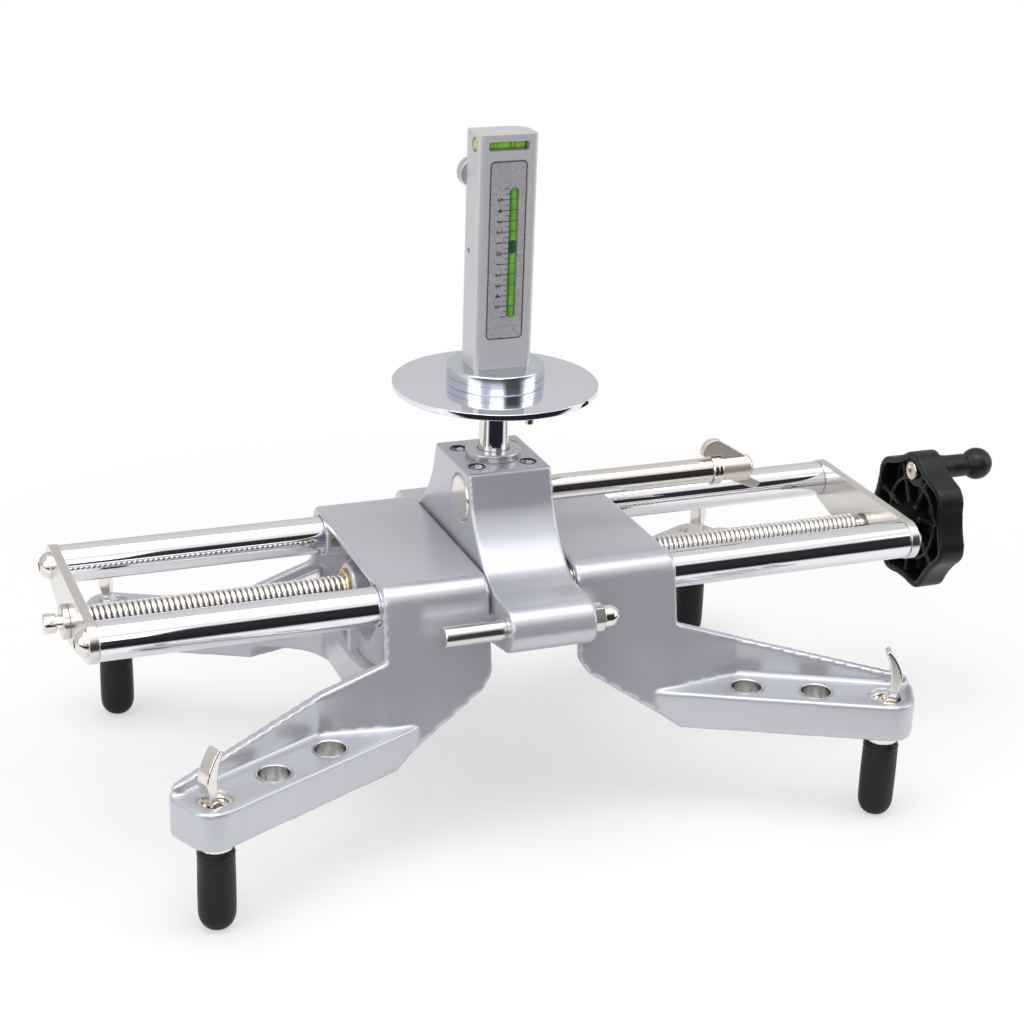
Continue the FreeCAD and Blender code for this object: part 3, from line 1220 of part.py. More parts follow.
def gaugeBody():
    body = newBody("gauge_body")
    half = gaugeWidth / 2
    sketch = newSketch(body, "XY_Plane", "Outline")
    outline(sketch, [
        (gaugeRound - half, gaugeFront), (half - gaugeRound, gaugeFront, gaugeRound),
        (half, gaugeFront + gaugeRound),
        (half, gaugeRear - gaugeShoulder, gaugeShoulder), (half - gaugeShoulder, gaugeRear),
        (gaugeRound - half, gaugeRear, gaugeRound), (-half, gaugeRear - gaugeRound),
        (-half, gaugeFront + gaugeRound, gaugeRound)])
    pad(body, sketch, gaugeHeight)
    camber = newSketch(body, "XY_Plane", "CamberBore", -overrun)
    circle(camber, camberX, gaugeFront + vialSet, vialDia / 2 + seatGap)
    pocket(body, camber, overrun + camberSlotLow + camberSlotHigh / 2 + camberLength / 2 + seatGap, reversed=True)
    caster = newSketch(body, "XY_Plane", "CasterBore", -overrun)
    circle(caster, casterX, gaugeRear - vialSet, vialDia / 2 + seatGap)
    pocket(body, caster, overrun + casterLow + casterLength + seatGap, reversed=True)
    cross = newSketch(body, "YZ_Plane", "CrossBore", -half - overrun)
    circle(cross, gaugeFront + crossSet, crossHeight, vialDia / 2 + seatGap)
    pocket(body, cross, overrun + crossLength + seatGap, reversed=True)
    seat = newSketch(body, "XZ_Plane", "ScaleSeat", -gaugeFront - scaleThick)
    side = scaleWidth / 2 + seatGap
    slab(seat, -side, side, scaleLow - seatGap, scaleLow + scaleHeight + seatGap, scaleRound)
    pocket(body, seat, scaleThick + overrun, reversed=True)
    seat = newSketch(body, "XZ_Plane", "CasterSeat", -gaugeRear - overrun)
    slab(seat, -side, side, casterPlateLow - seatGap, casterPlateLow + casterPlateHigh + seatGap, scaleRound)
    pocket(body, seat, scaleThick + overrun, reversed=True)
    slots = newSketch(body, "XZ_Plane", "FrontSlots", -gaugeFront - vialSet)
    camberSlot(slots)
    pocket(body, slots, vialSet + overrun, reversed=True)
    slot = newSketch(body, "XZ_Plane", "CrossSlot", -gaugeFront - crossSet)
    slab(slot, -crossSlotWide / 2, crossSlotWide / 2, crossHeight - crossSlotHigh / 2,
         crossHeight + crossSlotHigh / 2, crossSlotHigh / 4)
    pocket(body, slot, crossSet + overrun, reversed=True)
    slot = newSketch(body, "XZ_Plane", "CasterSlot", -gaugeRear - overrun)
    casterSlot(slot)
    pocket(body, slot, vialSet + overrun, reversed=True)
    screw = newSketch(body, "XY_Plane", "ScrewBore", -overrun)
    circle(screw, zero, zero, gaugeScrewDia / 2 + seatGap)
    pocket(body, screw, overrun + gaugeScrewDepth + faceGap, reversed=True)
    knob = newSketch(body, "XZ_Plane", "KnobBore", -gaugeRear - overrun)
    circle(knob, -knobX, knobHeight, knobStemDia / 2 + runGap)
    pocket(body, knob, overrun + knobStemDepth + faceGap, reversed=True)
    hole = newSketch(body, "YZ_Plane", "SideHole", -half - overrun)
    circle(hole, gaugeFront + gaugeDepth * sideHoleShare, sideHoleHeight, sideHoleDia / 2)
    pocket(body, hole, overrun + sideHoleDepth, reversed=True)
    return place(body, z=gaugeFoot)


def camberSlot(sketch):
    return slab(sketch, camberX - camberSlotWide / 2, camberX + camberSlotWide / 2, camberSlotLow,
                camberSlotLow + camberSlotHigh, camberSlotWide / 4)


def casterSlot(sketch):
    rest = vialDia / 2
    return slab(sketch, casterX - camberSlotWide / 2, casterX + camberSlotWide / 2, casterLow + rest,
                casterLow + casterLength - rest, camberSlotWide / 4)


gaugeBody()


def scalePlate(label, face, low, high, slot):
    """A thin plate in its seat, with a slot for the vial behind it. The face is its outer side's place."""
    body = newBody(label)
    sketch = newSketch(body, "XZ_Plane", "Outline", face)
    side = scaleWidth / 2
    slab(sketch, -side, side, low, low + high, scaleRound)
    slot(sketch)
    pad(body, sketch, scaleThick)
    return place(body, z=gaugeFoot)


scalePlate("scale_plate", -gaugeFront - scaleThick, scaleLow, scaleHeight, camberSlot)
scalePlate("caster_plate", -gaugeRear, casterPlateLow, casterPlateHigh, casterSlot)


def vial(label, axis, length):
    """A sealed tube with rounded ends."""
    radius = vialDia / 2
    edge = radius * vialEndShare
    return turned(label, axis, [
        (zero, zero), (zero, radius - edge, -edge), (edge, radius), (length - edge, radius, -edge),
        (length, radius - edge), (length, zero)])


camberLow = camberSlotLow + camberSlotHigh / 2 - camberLength / 2
place(vial("camber_vial", "z", camberLength), camberX, gaugeFront + vialSet, gaugeFoot + camberLow)
place(vial("caster_vial", "z", casterLength), casterX, gaugeRear - vialSet, gaugeFoot + casterLow)
place(vial("cross_vial", "x", crossLength), -gaugeWidth / 2, gaugeFront + crossSet, gaugeFoot + crossHeight)
knobEdge = rodChamfer
place(turned("caster_knob", "y", [
    (-knobStemDepth, zero), (-knobStemDepth, knobStemDia / 2), (faceGap, knobStemDia / 2),
    (faceGap, knobDia / 2 - knobEdge), (faceGap + knobEdge, knobDia / 2),
    (knobThick - knobEdge, knobDia / 2),
    (knobThick, knobDia / 2 - knobEdge), (knobThick, zero)]), -knobX, gaugeRear, gaugeFoot + knobHeight)


# Every piece is looked at, then written

doc.recompute()
for thing in doc.Objects:
    if "Invalid" in thing.State or "Error" in thing.State:
        raise RuntimeError(f"{thing.Name} ({thing.Label}) did not work out: {thing.State}")
for node in nodes:
    if node.Shape.isNull() or not node.Shape.isValid():
        raise RuntimeError(f"{node.Label} has no sound shape")
os.makedirs("parts", exist_ok=True)
for node in nodes:
    node.Shape.exportStep(os.path.join("parts", node.Label + ".step"))
    box = node.Shape.BoundBox
    print(f"{node.Label}: {len(node.Shape.Solids)} solids, {node.Shape.Volume:.0f} mm3, "
          f"x {box.XMin:.1f} {box.XMax:.1f}, y {box.YMin:.1f} {box.YMax:.1f}, z {box.ZMin:.1f} {box.ZMax:.1f}")
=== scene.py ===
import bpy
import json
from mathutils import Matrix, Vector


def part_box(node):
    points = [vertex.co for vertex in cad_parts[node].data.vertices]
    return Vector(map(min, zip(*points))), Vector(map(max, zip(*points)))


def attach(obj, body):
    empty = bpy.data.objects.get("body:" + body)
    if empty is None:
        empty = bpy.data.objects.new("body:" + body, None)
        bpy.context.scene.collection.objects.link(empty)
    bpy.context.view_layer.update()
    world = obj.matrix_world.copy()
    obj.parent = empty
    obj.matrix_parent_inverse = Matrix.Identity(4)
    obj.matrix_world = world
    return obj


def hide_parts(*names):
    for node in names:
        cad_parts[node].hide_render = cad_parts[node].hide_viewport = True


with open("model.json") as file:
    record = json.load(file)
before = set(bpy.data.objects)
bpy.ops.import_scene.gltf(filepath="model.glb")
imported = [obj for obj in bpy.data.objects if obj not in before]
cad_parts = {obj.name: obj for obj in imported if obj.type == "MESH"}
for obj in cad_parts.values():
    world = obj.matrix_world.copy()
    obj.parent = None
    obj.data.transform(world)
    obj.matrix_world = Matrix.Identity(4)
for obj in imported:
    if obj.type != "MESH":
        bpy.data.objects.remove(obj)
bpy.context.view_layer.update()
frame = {"nodes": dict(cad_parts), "record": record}

import json
import math

import bmesh
import bpy
import numpy as np
from mathutils import Matrix

# A magnetic camber and caster gauge on a self-centring wheel clamp.
# Lengths are in millimetres until a mesh is written, +X along the rods to the hand wheel, +Z up.

mm = 0.001
fullTurn = 2 * math.pi
scene = bpy.context.scene


# Studio: the camera at the photograph's angle, a pale floor and soft light

cameraView = dict(lens=76.35, sensor=36.0, azimuth=-21.794, elevation=21.891, roll=1.995, distance=1183.5,
                  targetX=12.2, targetZ=150.1)


def makeCamera():
    azimuth, elevation, roll = (math.radians(cameraView[key]) for key in ("azimuth", "elevation", "roll"))
    back = np.array([math.sin(azimuth) * math.cos(elevation), -math.cos(azimuth) * math.cos(elevation),
                     math.sin(elevation)])
    level = np.array([math.cos(azimuth), math.sin(azimuth), 0.0])
    upright = np.cross(back, level)
    right = math.cos(roll) * level + math.sin(roll) * upright
    up = np.cross(back, right)
    place = np.array([cameraView["targetX"], 0, cameraView["targetZ"]]) + back * cameraView["distance"]
    data = bpy.data.cameras.new("Camera")
    data.lens, data.sensor_width = cameraView["lens"], cameraView["sensor"]
    data.clip_start, data.clip_end = 0.05, 50
    camera = bpy.data.objects.new("Camera", data)
    scene.collection.objects.link(camera)
    turn = np.eye(4)
    turn[:3, 0], turn[:3, 1], turn[:3, 2], turn[:3, 3] = right, up, back, place * mm
    camera.matrix_world = Matrix(turn.tolist())
    scene.camera = camera


lamps = dict(
    top=dict(place=(-0.15, -0.25, 1.9), aim=(0, 0, 0.1), wide=1.7, high=1.3, power=17),
    left=dict(place=(-1.9, -0.7, 0.9), aim=(0, 0, 0.15), wide=1.1, high=1.3, power=8),
    right=dict(place=(1.9, -0.8, 0.95), aim=(0, 0, 0.15), wide=1.1, high=1.3, power=8),
    front=dict(place=(-0.6, -2.2, 1.3), aim=(0, 0, 0.15), wide=1.3, high=0.9, power=7),
)
# what metal sees: levels of the front, card, back and strip, and where each begins and ends
studio = dict(floor=8.0, fill=0.62, whiteFrom=(0.34, 0.62), clothFrom=(-0.38, -0.22), paleness=0.5,
              front=0.80, card=0.77, ceiling=0.2, strip=1.6, rear=0.62, rearRise=0.16, behind=(-0.2, 0.15),
              ceilingFrom=(0.48, 0.60), stripFrom=(0.76, 0.82), stripTo=(0.93, 0.97), cardFrom=(-0.12, 0.06),
              cardTo=(0.60, 0.72), rearFrom=(0.0, 0.9), paint=(0.9, 0.9, 0.9),
              clothColour=(0.02, 0.02, 0.03, 1))
white = (1, 1, 1, 1)


def makeLamps():
    for name, lamp in lamps.items():
        data = bpy.data.lights.new(name, "AREA")
        data.shape, data.energy = "RECTANGLE", lamp["power"]
        data.size, data.size_y = lamp["wide"], lamp["high"]
        light = bpy.data.objects.new("Lamp_" + name, data)
        scene.collection.objects.link(light)
        place, aim = np.array(lamp["place"]), np.array(lamp["aim"])
        away = (place - aim) / np.linalg.norm(place - aim)
        side = np.cross([0, 0, 1], away)
        side = side / np.linalg.norm(side) if np.linalg.norm(side) > 1e-6 else np.array([1.0, 0, 0])
        turn = np.eye(4)
        turn[:3, 0], turn[:3, 1], turn[:3, 2], turn[:3, 3] = side, np.cross(away, side), away, place
        light.matrix_world = Matrix(turn.tolist())


# Shader maths: a socket with operators, and a finish that adds nodes

class Value:
    def __init__(self, finish, socket):
        self.finish, self.socket = finish, socket

    def math(self, operation, *others):
        sockets = {0: self, **dict(enumerate(others, 1))}
        node = self.finish.add("ShaderNodeMath", {"operation": operation}, sockets)
        return Value(self.finish, node.outputs[0])

    def __add__(self, other):
        return self.math("ADD", other)

    def __sub__(self, other):
        return self.math("SUBTRACT", other)

    def __mul__(self, other):
        return self.math("MULTIPLY", other)

    def __rsub__(self, other):
        return self * -1 + other

    __radd__, __rmul__ = __add__, __mul__

    def step(self, low, high):
        node = self.finish.add("ShaderNodeMapRange", {"interpolation_type": "SMOOTHSTEP"},
                               {"Value": self, "From Min": low, "From Max": high})
        return Value(self.finish, node.outputs["Result"])


socketNames = dict(baseColor="Base Color", roughness="Roughness", metallic="Metallic", normal="Normal",
                   coatWeight="Coat Weight", coatRoughness="Coat Roughness", specular="Specular IOR Level")


class Finish:
    def __init__(self, name, **fixed):
        self.material = bpy.data.materials.new(name)
        self.material.use_nodes = True
        self.tree = self.material.node_tree
        self.tree.nodes.clear()
        self.surface = self.add("ShaderNodeBsdfPrincipled")
        self.output = self.add("ShaderNodeOutputMaterial")
        self.tree.links.new(self.surface.outputs[0], self.output.inputs[0])
        self.set(**fixed)
        self.coordinates = Value(self, self.add("ShaderNodeTexCoord").outputs["Object"])

    def add(self, kind, settings=None, sockets=None):
        node = self.tree.nodes.new(kind)
        for key, value in (settings or {}).items():
            setattr(node, key, value)
        for key, value in (sockets or {}).items():
            if isinstance(value, Value):
                self.tree.links.new(value.socket, node.inputs[key])
            else:
                node.inputs[key].default_value = value
        return node

    def set(self, **values):
        # baseColor stands for the socket Base Color, and so on
        for key, value in values.items():
            socket = self.surface.inputs[socketNames[key]]
            if isinstance(value, Value):
                self.tree.links.new(value.socket, socket)
            else:
                socket.default_value = (*value, 1) if isinstance(value, tuple) and len(value) == 3 else value

    def stretched(self, scale):
        node = self.add("ShaderNodeMapping", {}, {"Vector": self.coordinates, "Scale": scale})
        return Value(self, node.outputs[0])

    def noise(self, size, detail=3, rough=0.55, stretch=(1, 1, 1)):
        # cloudy noise whose lumps are about size millimetres across
        scale = tuple(1 / (size * mm * part) for part in stretch)
        node = self.add("ShaderNodeTexNoise", {}, {"Vector": self.stretched(scale), "Scale": 1.0,
                                                   "Detail": detail, "Roughness": rough})
        return Value(self, node.outputs["Fac"])

    def blend(self, factor, first, second):
        ends = {6: first if isinstance(first, Value) else (*first, 1),
                7: second if isinstance(second, Value) else (*second, 1)}
        node = self.add("ShaderNodeMix", {"data_type": "RGBA"}, {0: factor, **ends})
        return Value(self, node.outputs[2])

    def bump(self, height, distance, strength=1.0):
        node = self.add("ShaderNodeBump", {}, {"Height": height, "Distance": distance * mm,
                                               "Strength": strength})
        self.set(normal=Value(self, node.outputs[0]))

    def axis(self, index):
        node = self.add("ShaderNodeSeparateXYZ", {}, {0: self.coordinates})
        return Value(self, node.outputs[index])


def makeWorld():
    # white for the camera; metal sees a white ceiling with a bright strip, a grey back and a dark card
    # in front; level = back and front mixed by direction, then by the kind of ray
    world = bpy.data.worlds.new("Studio")
    scene.world = world
    world.use_nodes = True
    tree = world.node_tree
    tree.nodes.clear()
    builder = Finish.__new__(Finish)
    builder.tree = tree
    path = builder.add("ShaderNodeLightPath")
    seen = Value(builder, path.outputs["Is Camera Ray"])
    glossy = Value(builder, path.outputs["Is Glossy Ray"])
    way = builder.add("ShaderNodeTexCoord")
    parts = builder.add("ShaderNodeSeparateXYZ", {}, {0: Value(builder, way.outputs["Generated"])})
    along, across, height = (Value(builder, parts.outputs[index]) for index in range(3))
    behind = across.step(*studio["behind"])
    ceiling = height.step(*studio["ceilingFrom"])
    strip = height.step(*studio["stripFrom"]) * (1 - height.step(*studio["stripTo"]))
    card = along.step(*studio["cardFrom"]) * (1 - along.step(*studio["cardTo"])) * (1 - ceiling)
    front = studio["front"] - card * studio["card"] + ceiling * studio["ceiling"] + strip * studio["strip"]
    rear = studio["rear"] + height.step(*studio["rearFrom"]) * studio["rearRise"]
    tent = behind * rear + (1 - behind) * front
    level = glossy * (tent - studio["fill"]) + studio["fill"]
    level = seen * (1 - level) + level
    background = builder.add("ShaderNodeBackground", {}, {"Color": white, "Strength": level})
    output = builder.add("ShaderNodeOutputWorld")
    tree.links.new(background.outputs[0], output.inputs[0])


def makeFloor():
    # pale paint near the object, so that its shadow shows; further out it goes over to white,
    # and metal sees a dark cloth in front of the object
    mesh = bpy.data.meshes.new("Floor")
    half = studio["floor"] / 2
    corners = [(-half, -half, 0), (half, -half, 0), (half, half, 0), (-half, half, 0)]
    mesh.from_pydata(corners, [], [(0, 1, 2, 3)])
    floor = bpy.data.objects.new("Floor", mesh)
    scene.collection.objects.link(floor)
    paint = Finish("FloorPaint", baseColor=studio["paint"], roughness=0.8)
    path = paint.add("ShaderNodeLightPath")
    seen = Value(paint, path.outputs["Is Camera Ray"])
    glossy = Value(paint, path.outputs["Is Glossy Ray"])
    x, y = paint.axis(0), paint.axis(1)
    distance = (x * x + y * y).math("SQRT")
    bright = seen * (studio["paleness"] + distance.step(*studio["whiteFrom"]) * (1 - studio["paleness"]))
    cloth = glossy * (1 - y.step(*studio["clothFrom"]))
    glow = paint.add("ShaderNodeEmission", {}, {"Color": white, "Strength": 1.0})
    black = paint.add("ShaderNodeEmission", {}, {"Color": studio["clothColour"], "Strength": 1.0})
    outer = paint.add("ShaderNodeMixShader", {}, {0: bright, 1: Value(paint, paint.surface.outputs[0]),
                                                  2: Value(paint, glow.outputs[0])})
    both = paint.add("ShaderNodeMixShader", {}, {0: cloth, 1: Value(paint, outer.outputs[0]),
                                                 2: Value(paint, black.outputs[0])})
    paint.tree.links.new(both.outputs[0], paint.output.inputs[0])
    mesh.materials.append(paint.material)


makeCamera()
makeLamps()
makeWorld()
makeFloor()
scene.view_settings.view_transform = "Standard"
print("studio ready")


# Shapes: every piece is one or more grids of points; neighbours in a grid make its faces

sides = dict(x=np.eye(3)[[0, 1, 2]], y=np.eye(3)[[1, 2, 0]], z=np.eye(3)[[2, 0, 1]])   # along, side, up


def nodeBox(node):
    low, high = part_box(node)
    return np.array(low) / mm, np.array(high) / mm


def rounded(corners, steps=5):
    # a corner (x, y, r) becomes an arc of radius r: centre = corner + (a + b) / |a + b| * r / sin(half angle)
    corners = [(*corner, 0)[:3] for corner in corners]
    points = []
    for index, (x, y, radius) in enumerate(corners):
        here = np.array([x, y], float)
        if radius == 0 or index in (0, len(corners) - 1):
            points.append(here[None])
            continue
        a, b = (np.array(corners[k][:2], float) - here for k in (index - 1, index + 1))
        a, b = a / np.linalg.norm(a), b / np.linalg.norm(b)
        half = math.acos(np.clip(a @ b, -1, 1)) / 2
        centre = here + (a + b) / np.linalg.norm(a + b) * radius / math.sin(half)
        reach = radius / math.tan(half)
        share = np.linspace(0, 1, steps + 1)[:, None]
        chord = (here + a * reach - centre) * (1 - share) + (here + b * reach - centre) * share
        points.append(centre + chord / np.linalg.norm(chord, axis=1, keepdims=True) * radius)
    return np.concatenate(points)


def turned(corners, axis="z", centre=(0, 0, 0), around=72, steps=5, wave=None):
    # point = centre + s * along + (r + wave(s, a)) * (cos a * side + sin a * up), for a profile of (s, r)
    line = rounded(corners, steps)
    angle = np.linspace(0, fullTurn, around + 1)[None, :]
    along, side, up = sides[axis]
    s, r = line[:, :1], line[:, 1:] + (wave(line[:, :1], angle) if wave else 0 * angle)
    r = np.maximum(r, 0)
    return (np.array(centre, float) + (s + 0 * angle)[..., None] * along
            + (r * np.cos(angle))[..., None] * side + (r * np.sin(angle))[..., None] * up)


def bars(places, depth):
    # upright boxes for printed lines: each (x0, x1, z0, z1) gives a box's eight corners between two depths
    low, high = depth
    boxes = np.array(places, float)
    x, z = boxes[:, [0, 1, 1, 0]], boxes[:, [2, 2, 3, 3]]
    ring = np.stack([x, z], axis=-1)
    ring = np.concatenate([ring, ring[:, :1]], axis=1)
    front = np.insert(ring, 1, low, axis=2)
    back = np.insert(ring, 1, high, axis=2)
    middle = lambda part: np.repeat(part[:, :4].mean(axis=1, keepdims=True), 5, axis=1)
    return [grid for grid in np.stack([middle(front), front, back, middle(back)], axis=1)]


def roundRect(x0, x1, z0, z1, radius, steps=8):
    # a closed outline: four corner arcs of the given radius
    turn = np.linspace(0, math.pi / 2, steps + 1)
    corners = ((x1 - radius, z1 - radius, 0), (x0 + radius, z1 - radius, 1), (x0 + radius, z0 + radius, 2),
               (x1 - radius, z0 + radius, 3))
    arcs = [np.stack([x + radius * np.cos(turn + quarter * math.pi / 2),
                      z + radius * np.sin(turn + quarter * math.pi / 2)], -1) for x, z, quarter in corners]
    ring = np.concatenate(arcs)
    return np.concatenate([ring, ring[:1]])


def finishMesh(mesh, sharp, merge=0.002):
    # merges doubled points, so seams and poles close, and turns the faces outwards
    work = bmesh.new()
    work.from_mesh(mesh)
    bmesh.ops.remove_doubles(work, verts=work.verts, dist=merge * mm)
    bmesh.ops.dissolve_degenerate(work, dist=merge * mm / 2, edges=work.edges)
    bmesh.ops.recalc_face_normals(work, faces=work.faces)
    work.to_mesh(mesh)
    work.free()
    mesh.shade_smooth()
    if sharp < 180:
        mesh.set_sharp_from_angle(angle=math.radians(sharp))


def settle(piece, body, slot, replaced=(), finish=None):
    if not piece.data.materials:
        piece.data.materials.append(finish or finishes[slot])
    if not piece.users_collection:
        scene.collection.objects.link(piece)
    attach(piece, body)
    if replaced:
        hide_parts(*replaced)
    return piece


def makePiece(name, grids, body, slot, replaced=(), finish=None, sharp=32, merge=0.002):
    points, faces, start = [], [], 0
    for grid in grids:
        rows, columns = grid.shape[:2]
        index = start + np.arange(rows * columns).reshape(rows, columns)
        square = np.stack([index[:-1, :-1], index[1:, :-1], index[1:, 1:], index[:-1, 1:]], -1)
        faces.append(square.reshape(-1, 4))
        points.append(grid.reshape(-1, 3))
        start += rows * columns
    mesh = bpy.data.meshes.new(name)
    mesh.from_pydata((np.concatenate(points) * mm).tolist(), [], np.concatenate(faces).tolist())
    finishMesh(mesh, sharp, merge)
    return settle(bpy.data.objects.new(name, mesh), body, slot, replaced, finish)


def pieceName(node):
    return node.title().replace("_", "")


def bodyOf(node):
    return next(body for body, members in frame["record"]["behaviour"]["bodies"].items() if node in members)


def mergedCopy(node, name):
    mesh = frame["nodes"][node].data.copy()
    mesh.materials.clear()
    work = bmesh.new()
    work.from_mesh(mesh)
    bmesh.ops.remove_doubles(work, verts=work.verts, dist=0.002 * mm)
    bmesh.ops.dissolve_limit(work, angle_limit=math.radians(0.6), verts=work.verts, edges=work.edges)
    work.to_mesh(mesh)
    work.free()
    mesh.name = name
    if "custom_normal" in mesh.attributes:
        mesh.attributes.remove(mesh.attributes["custom_normal"])
    piece = bpy.data.objects.new(name, mesh)
    scene.collection.objects.link(piece)
    return piece


def softened(node, width, angle=30, finish=None, segments=3):
    # the solid's own shape with its edges rounded
    piece = mergedCopy(node, pieceName(node) + "Soft")
    piece.data.shade_smooth()
    bevel = piece.modifiers.new("Edges", "BEVEL")
    bevel.width, bevel.segments, bevel.limit_method = width * mm, segments, "ANGLE"
    bevel.angle_limit, bevel.use_clamp_overlap, bevel.harden_normals = math.radians(angle), True, False
    weighted = piece.modifiers.new("Normals", "WEIGHTED_NORMAL")
    weighted.keep_sharp = True
    return settle(piece, bodyOf(node), slotOf[node], (node,), finish)


def casting(node, voxel, rounds, finish=None):
    # the solid's shape on an even grid, relaxed, so that every edge is as round as a cast one
    piece = mergedCopy(node, pieceName(node) + "Cast")
    grid = piece.modifiers.new("Grid", "REMESH")
    grid.mode, grid.voxel_size, grid.use_smooth_shade = "VOXEL", voxel * mm, True
    relax = piece.modifiers.new("Relax", "SMOOTH")
    relax.factor, relax.iterations = 0.5, rounds
    seen = piece.evaluated_get(bpy.context.evaluated_depsgraph_get())
    mesh = bpy.data.meshes.new_from_object(seen)
    piece.modifiers.clear()
    piece.data = mesh
    mesh.materials.clear()
    mesh.shade_smooth()
    return settle(piece, bodyOf(node), slotOf[node], (node,), finish)


# Materials

def castPaint():
    # silver paint on a casting: faint orange peel, slow clouds in its gloss
    finish = Finish("CastPaint", metallic=0.5, coatWeight=0.7, coatRoughness=0.1)
    cloud = finish.noise(40, 2)
    grain = finish.noise(0.5, 2)
    finish.set(baseColor=finish.blend(cloud, (0.47, 0.478, 0.53), (0.525, 0.532, 0.58)),
               roughness=0.24 + cloud * 0.08 + grain * 0.05)
    finish.bump(finish.noise(1.8, 3) * 0.7 + grain * 0.3, 0.02, 0.3)
    return finish.material


def metal(name, light, dark, roughness, streak=None, depth=0.004, spread=0.1, metallic=1.0):
    # a metal with fine tool marks; streak stretches them along one axis
    finish = Finish(name, metallic=metallic)
    marks = finish.noise(0.35, 4, 0.6, streak or (1, 1, 1))
    cloud = finish.noise(14, 3)
    finish.set(baseColor=finish.blend(cloud * 0.5 + marks * 0.5, light, dark),
               roughness=roughness + marks * spread)
    finish.bump(marks, depth, 0.5)
    return finish.material


def threadSteel():
    # bright crests and a dark brown root, which is painted shade in the thread's valleys: the colour follows
    # the distance from the screw's axis
    finish = Finish("ThreadSteel", metallic=1.0)
    y, z = finish.axis(1), finish.axis(2) - screw["height"] * mm
    reach = (y * y + z * z).math("SQRT")
    journal = 1 - reach.step(4.3 * mm, 5.2 * mm)
    crest = reach.step(screw["root"] * mm, (screw["crest"] - 0.35) * mm).math("MAXIMUM", journal)
    cloud = finish.noise(5, 3)
    # the dark brown is painted shade in the root; the pale colour is the steel of the crests
    finish.set(baseColor=finish.blend(crest, (0.17, 0.14, 0.12), (0.88, 0.85, 0.82)),
               roughness=0.16 + cloud * 0.1 + (1 - crest) * 0.25)
    return finish.material


def blackPlastic():
    finish = Finish("BlackPlastic", specular=0.3)
    cloud = finish.noise(6, 3)
    finish.set(baseColor=finish.blend(cloud, (0.004, 0.004, 0.0045), (0.008, 0.008, 0.009)),
               roughness=0.3 + cloud * 0.15)
    finish.bump(finish.noise(0.6, 2), 0.015, 0.4)
    return finish.material


def fingerRubber():
    finish = Finish("FingerRubber", specular=0.25)
    cloud = finish.noise(5, 3, 0.6, (1, 1, 2.5))
    finish.set(baseColor=finish.blend(cloud, (0.004, 0.004, 0.005), (0.012, 0.012, 0.013)),
               roughness=0.3 + cloud * 0.2)
    finish.bump(cloud * 0.7 + finish.noise(0.7, 2) * 0.3, 0.1, 0.4)
    return finish.material


def vialGreen(name, axis, centre, half, bubble, light, dark, air):
    # lime liquid with painted shade, deepest towards one side and slight at the other edge, random darker
    # clouds, and a bubble with a dark rim
    # bubble mask: a rounded bar |t| < length, |u| < width about the bubble's middle
    finish = Finish(name, roughness=0.08, coatWeight=1.0, coatRoughness=0.03, specular=0.5)
    t = (finish.axis(axis) - centre[axis] * mm) * (1 / mm)
    u = (finish.axis(2 if axis == 0 else 0) - centre[2 if axis == 0 else 0] * mm) * (1 / mm)
    # painted shade across the tube: darkest on the negative side of u, a little at the positive edge
    side = (1 - u.step(-half * 0.9, half * 0.2)) * 0.8 + u.step(half * 0.7, half) * 0.3
    place, length, width = bubble
    past = ((t - place).math("ABSOLUTE") - (length - width)).math("MAXIMUM", 0)
    reach = (past * past + u * u).math("SQRT")
    inside = 1 - reach.step(width - 0.5, width - 0.1)
    rim = (1 - reach.step(width, width + 0.5)) - inside
    cloud = finish.noise(9, 2)
    base = finish.blend(side, light, dark)
    base = finish.blend(cloud.step(0.35, 0.65) * 0.3, base, dark)
    base = finish.blend(inside, base, air)
    finish.set(baseColor=finish.blend(rim, base, dark))
    return finish.material


def scaleSheet():
    # grey printed sheet with a mottled, brushed grain
    finish = Finish("ScaleSheet", metallic=0.35)
    mottle = finish.noise(1.1, 4, 0.65)
    cloud = finish.noise(7, 2)
    shade = mottle.step(0.3, 0.7) * 0.7 + cloud * 0.3
    finish.set(baseColor=finish.blend(shade, (0.46, 0.46, 0.485), (0.27, 0.27, 0.29)),
               roughness=0.34 + mottle * 0.2)
    finish.bump(mottle, 0.01, 0.4)
    return finish.material


screw = dict(height=117.5, crest=7.0, root=5.9, pitch=3.0, around=40, perTurn=8)
finishes = dict(
    cast_paint=castPaint(),
    rod_chrome=metal("RodChrome", (0.84, 0.84, 0.87), (0.79, 0.79, 0.83), 0.035, (400, 1, 1), 0.0004, 0.04),
    plate_steel=metal("PlateSteel", (0.78, 0.75, 0.71), (0.70, 0.67, 0.63), 0.16, (1, 12, 1), 0.003),
    nickel=metal("Nickel", (0.84, 0.795, 0.745), (0.76, 0.715, 0.665), 0.08, None, 0.0015),
    stud_steel=metal("TurnedSteel", (0.74, 0.72, 0.70), (0.62, 0.60, 0.58), 0.16, (1, 30, 30), 0.003),
    zinc=metal("ZincPlate", (0.60, 0.655, 0.73), (0.69, 0.72, 0.765), 0.14, None, 0.003, 0.12),
    disc_chrome=metal("DiscChrome", (0.82, 0.825, 0.89), (0.79, 0.795, 0.86), 0.03, None, 0.0005, 0.03),
    gauge_aluminium=metal("GaugeAluminium", (0.62, 0.62, 0.645), (0.55, 0.55, 0.575), 0.28, (1, 1, 12), 0.004,
                          0.12, 0.45),
    scale_sheet=scaleSheet(),
    nut_brass=metal("NutBrass", (0.80, 0.62, 0.32), (0.68, 0.50, 0.24), 0.2, (1, 20, 20), 0.003),
    bush_bronze=metal("BushBronze", (0.55, 0.40, 0.26), (0.45, 0.32, 0.2), 0.3, (1, 20, 20), 0.003),
    black_plastic=blackPlastic(),
    finger_rubber=fingerRubber(),
    knob_metal=metal("KnobMetal", (0.72, 0.72, 0.73), (0.62, 0.62, 0.63), 0.2, None, 0.004),
)
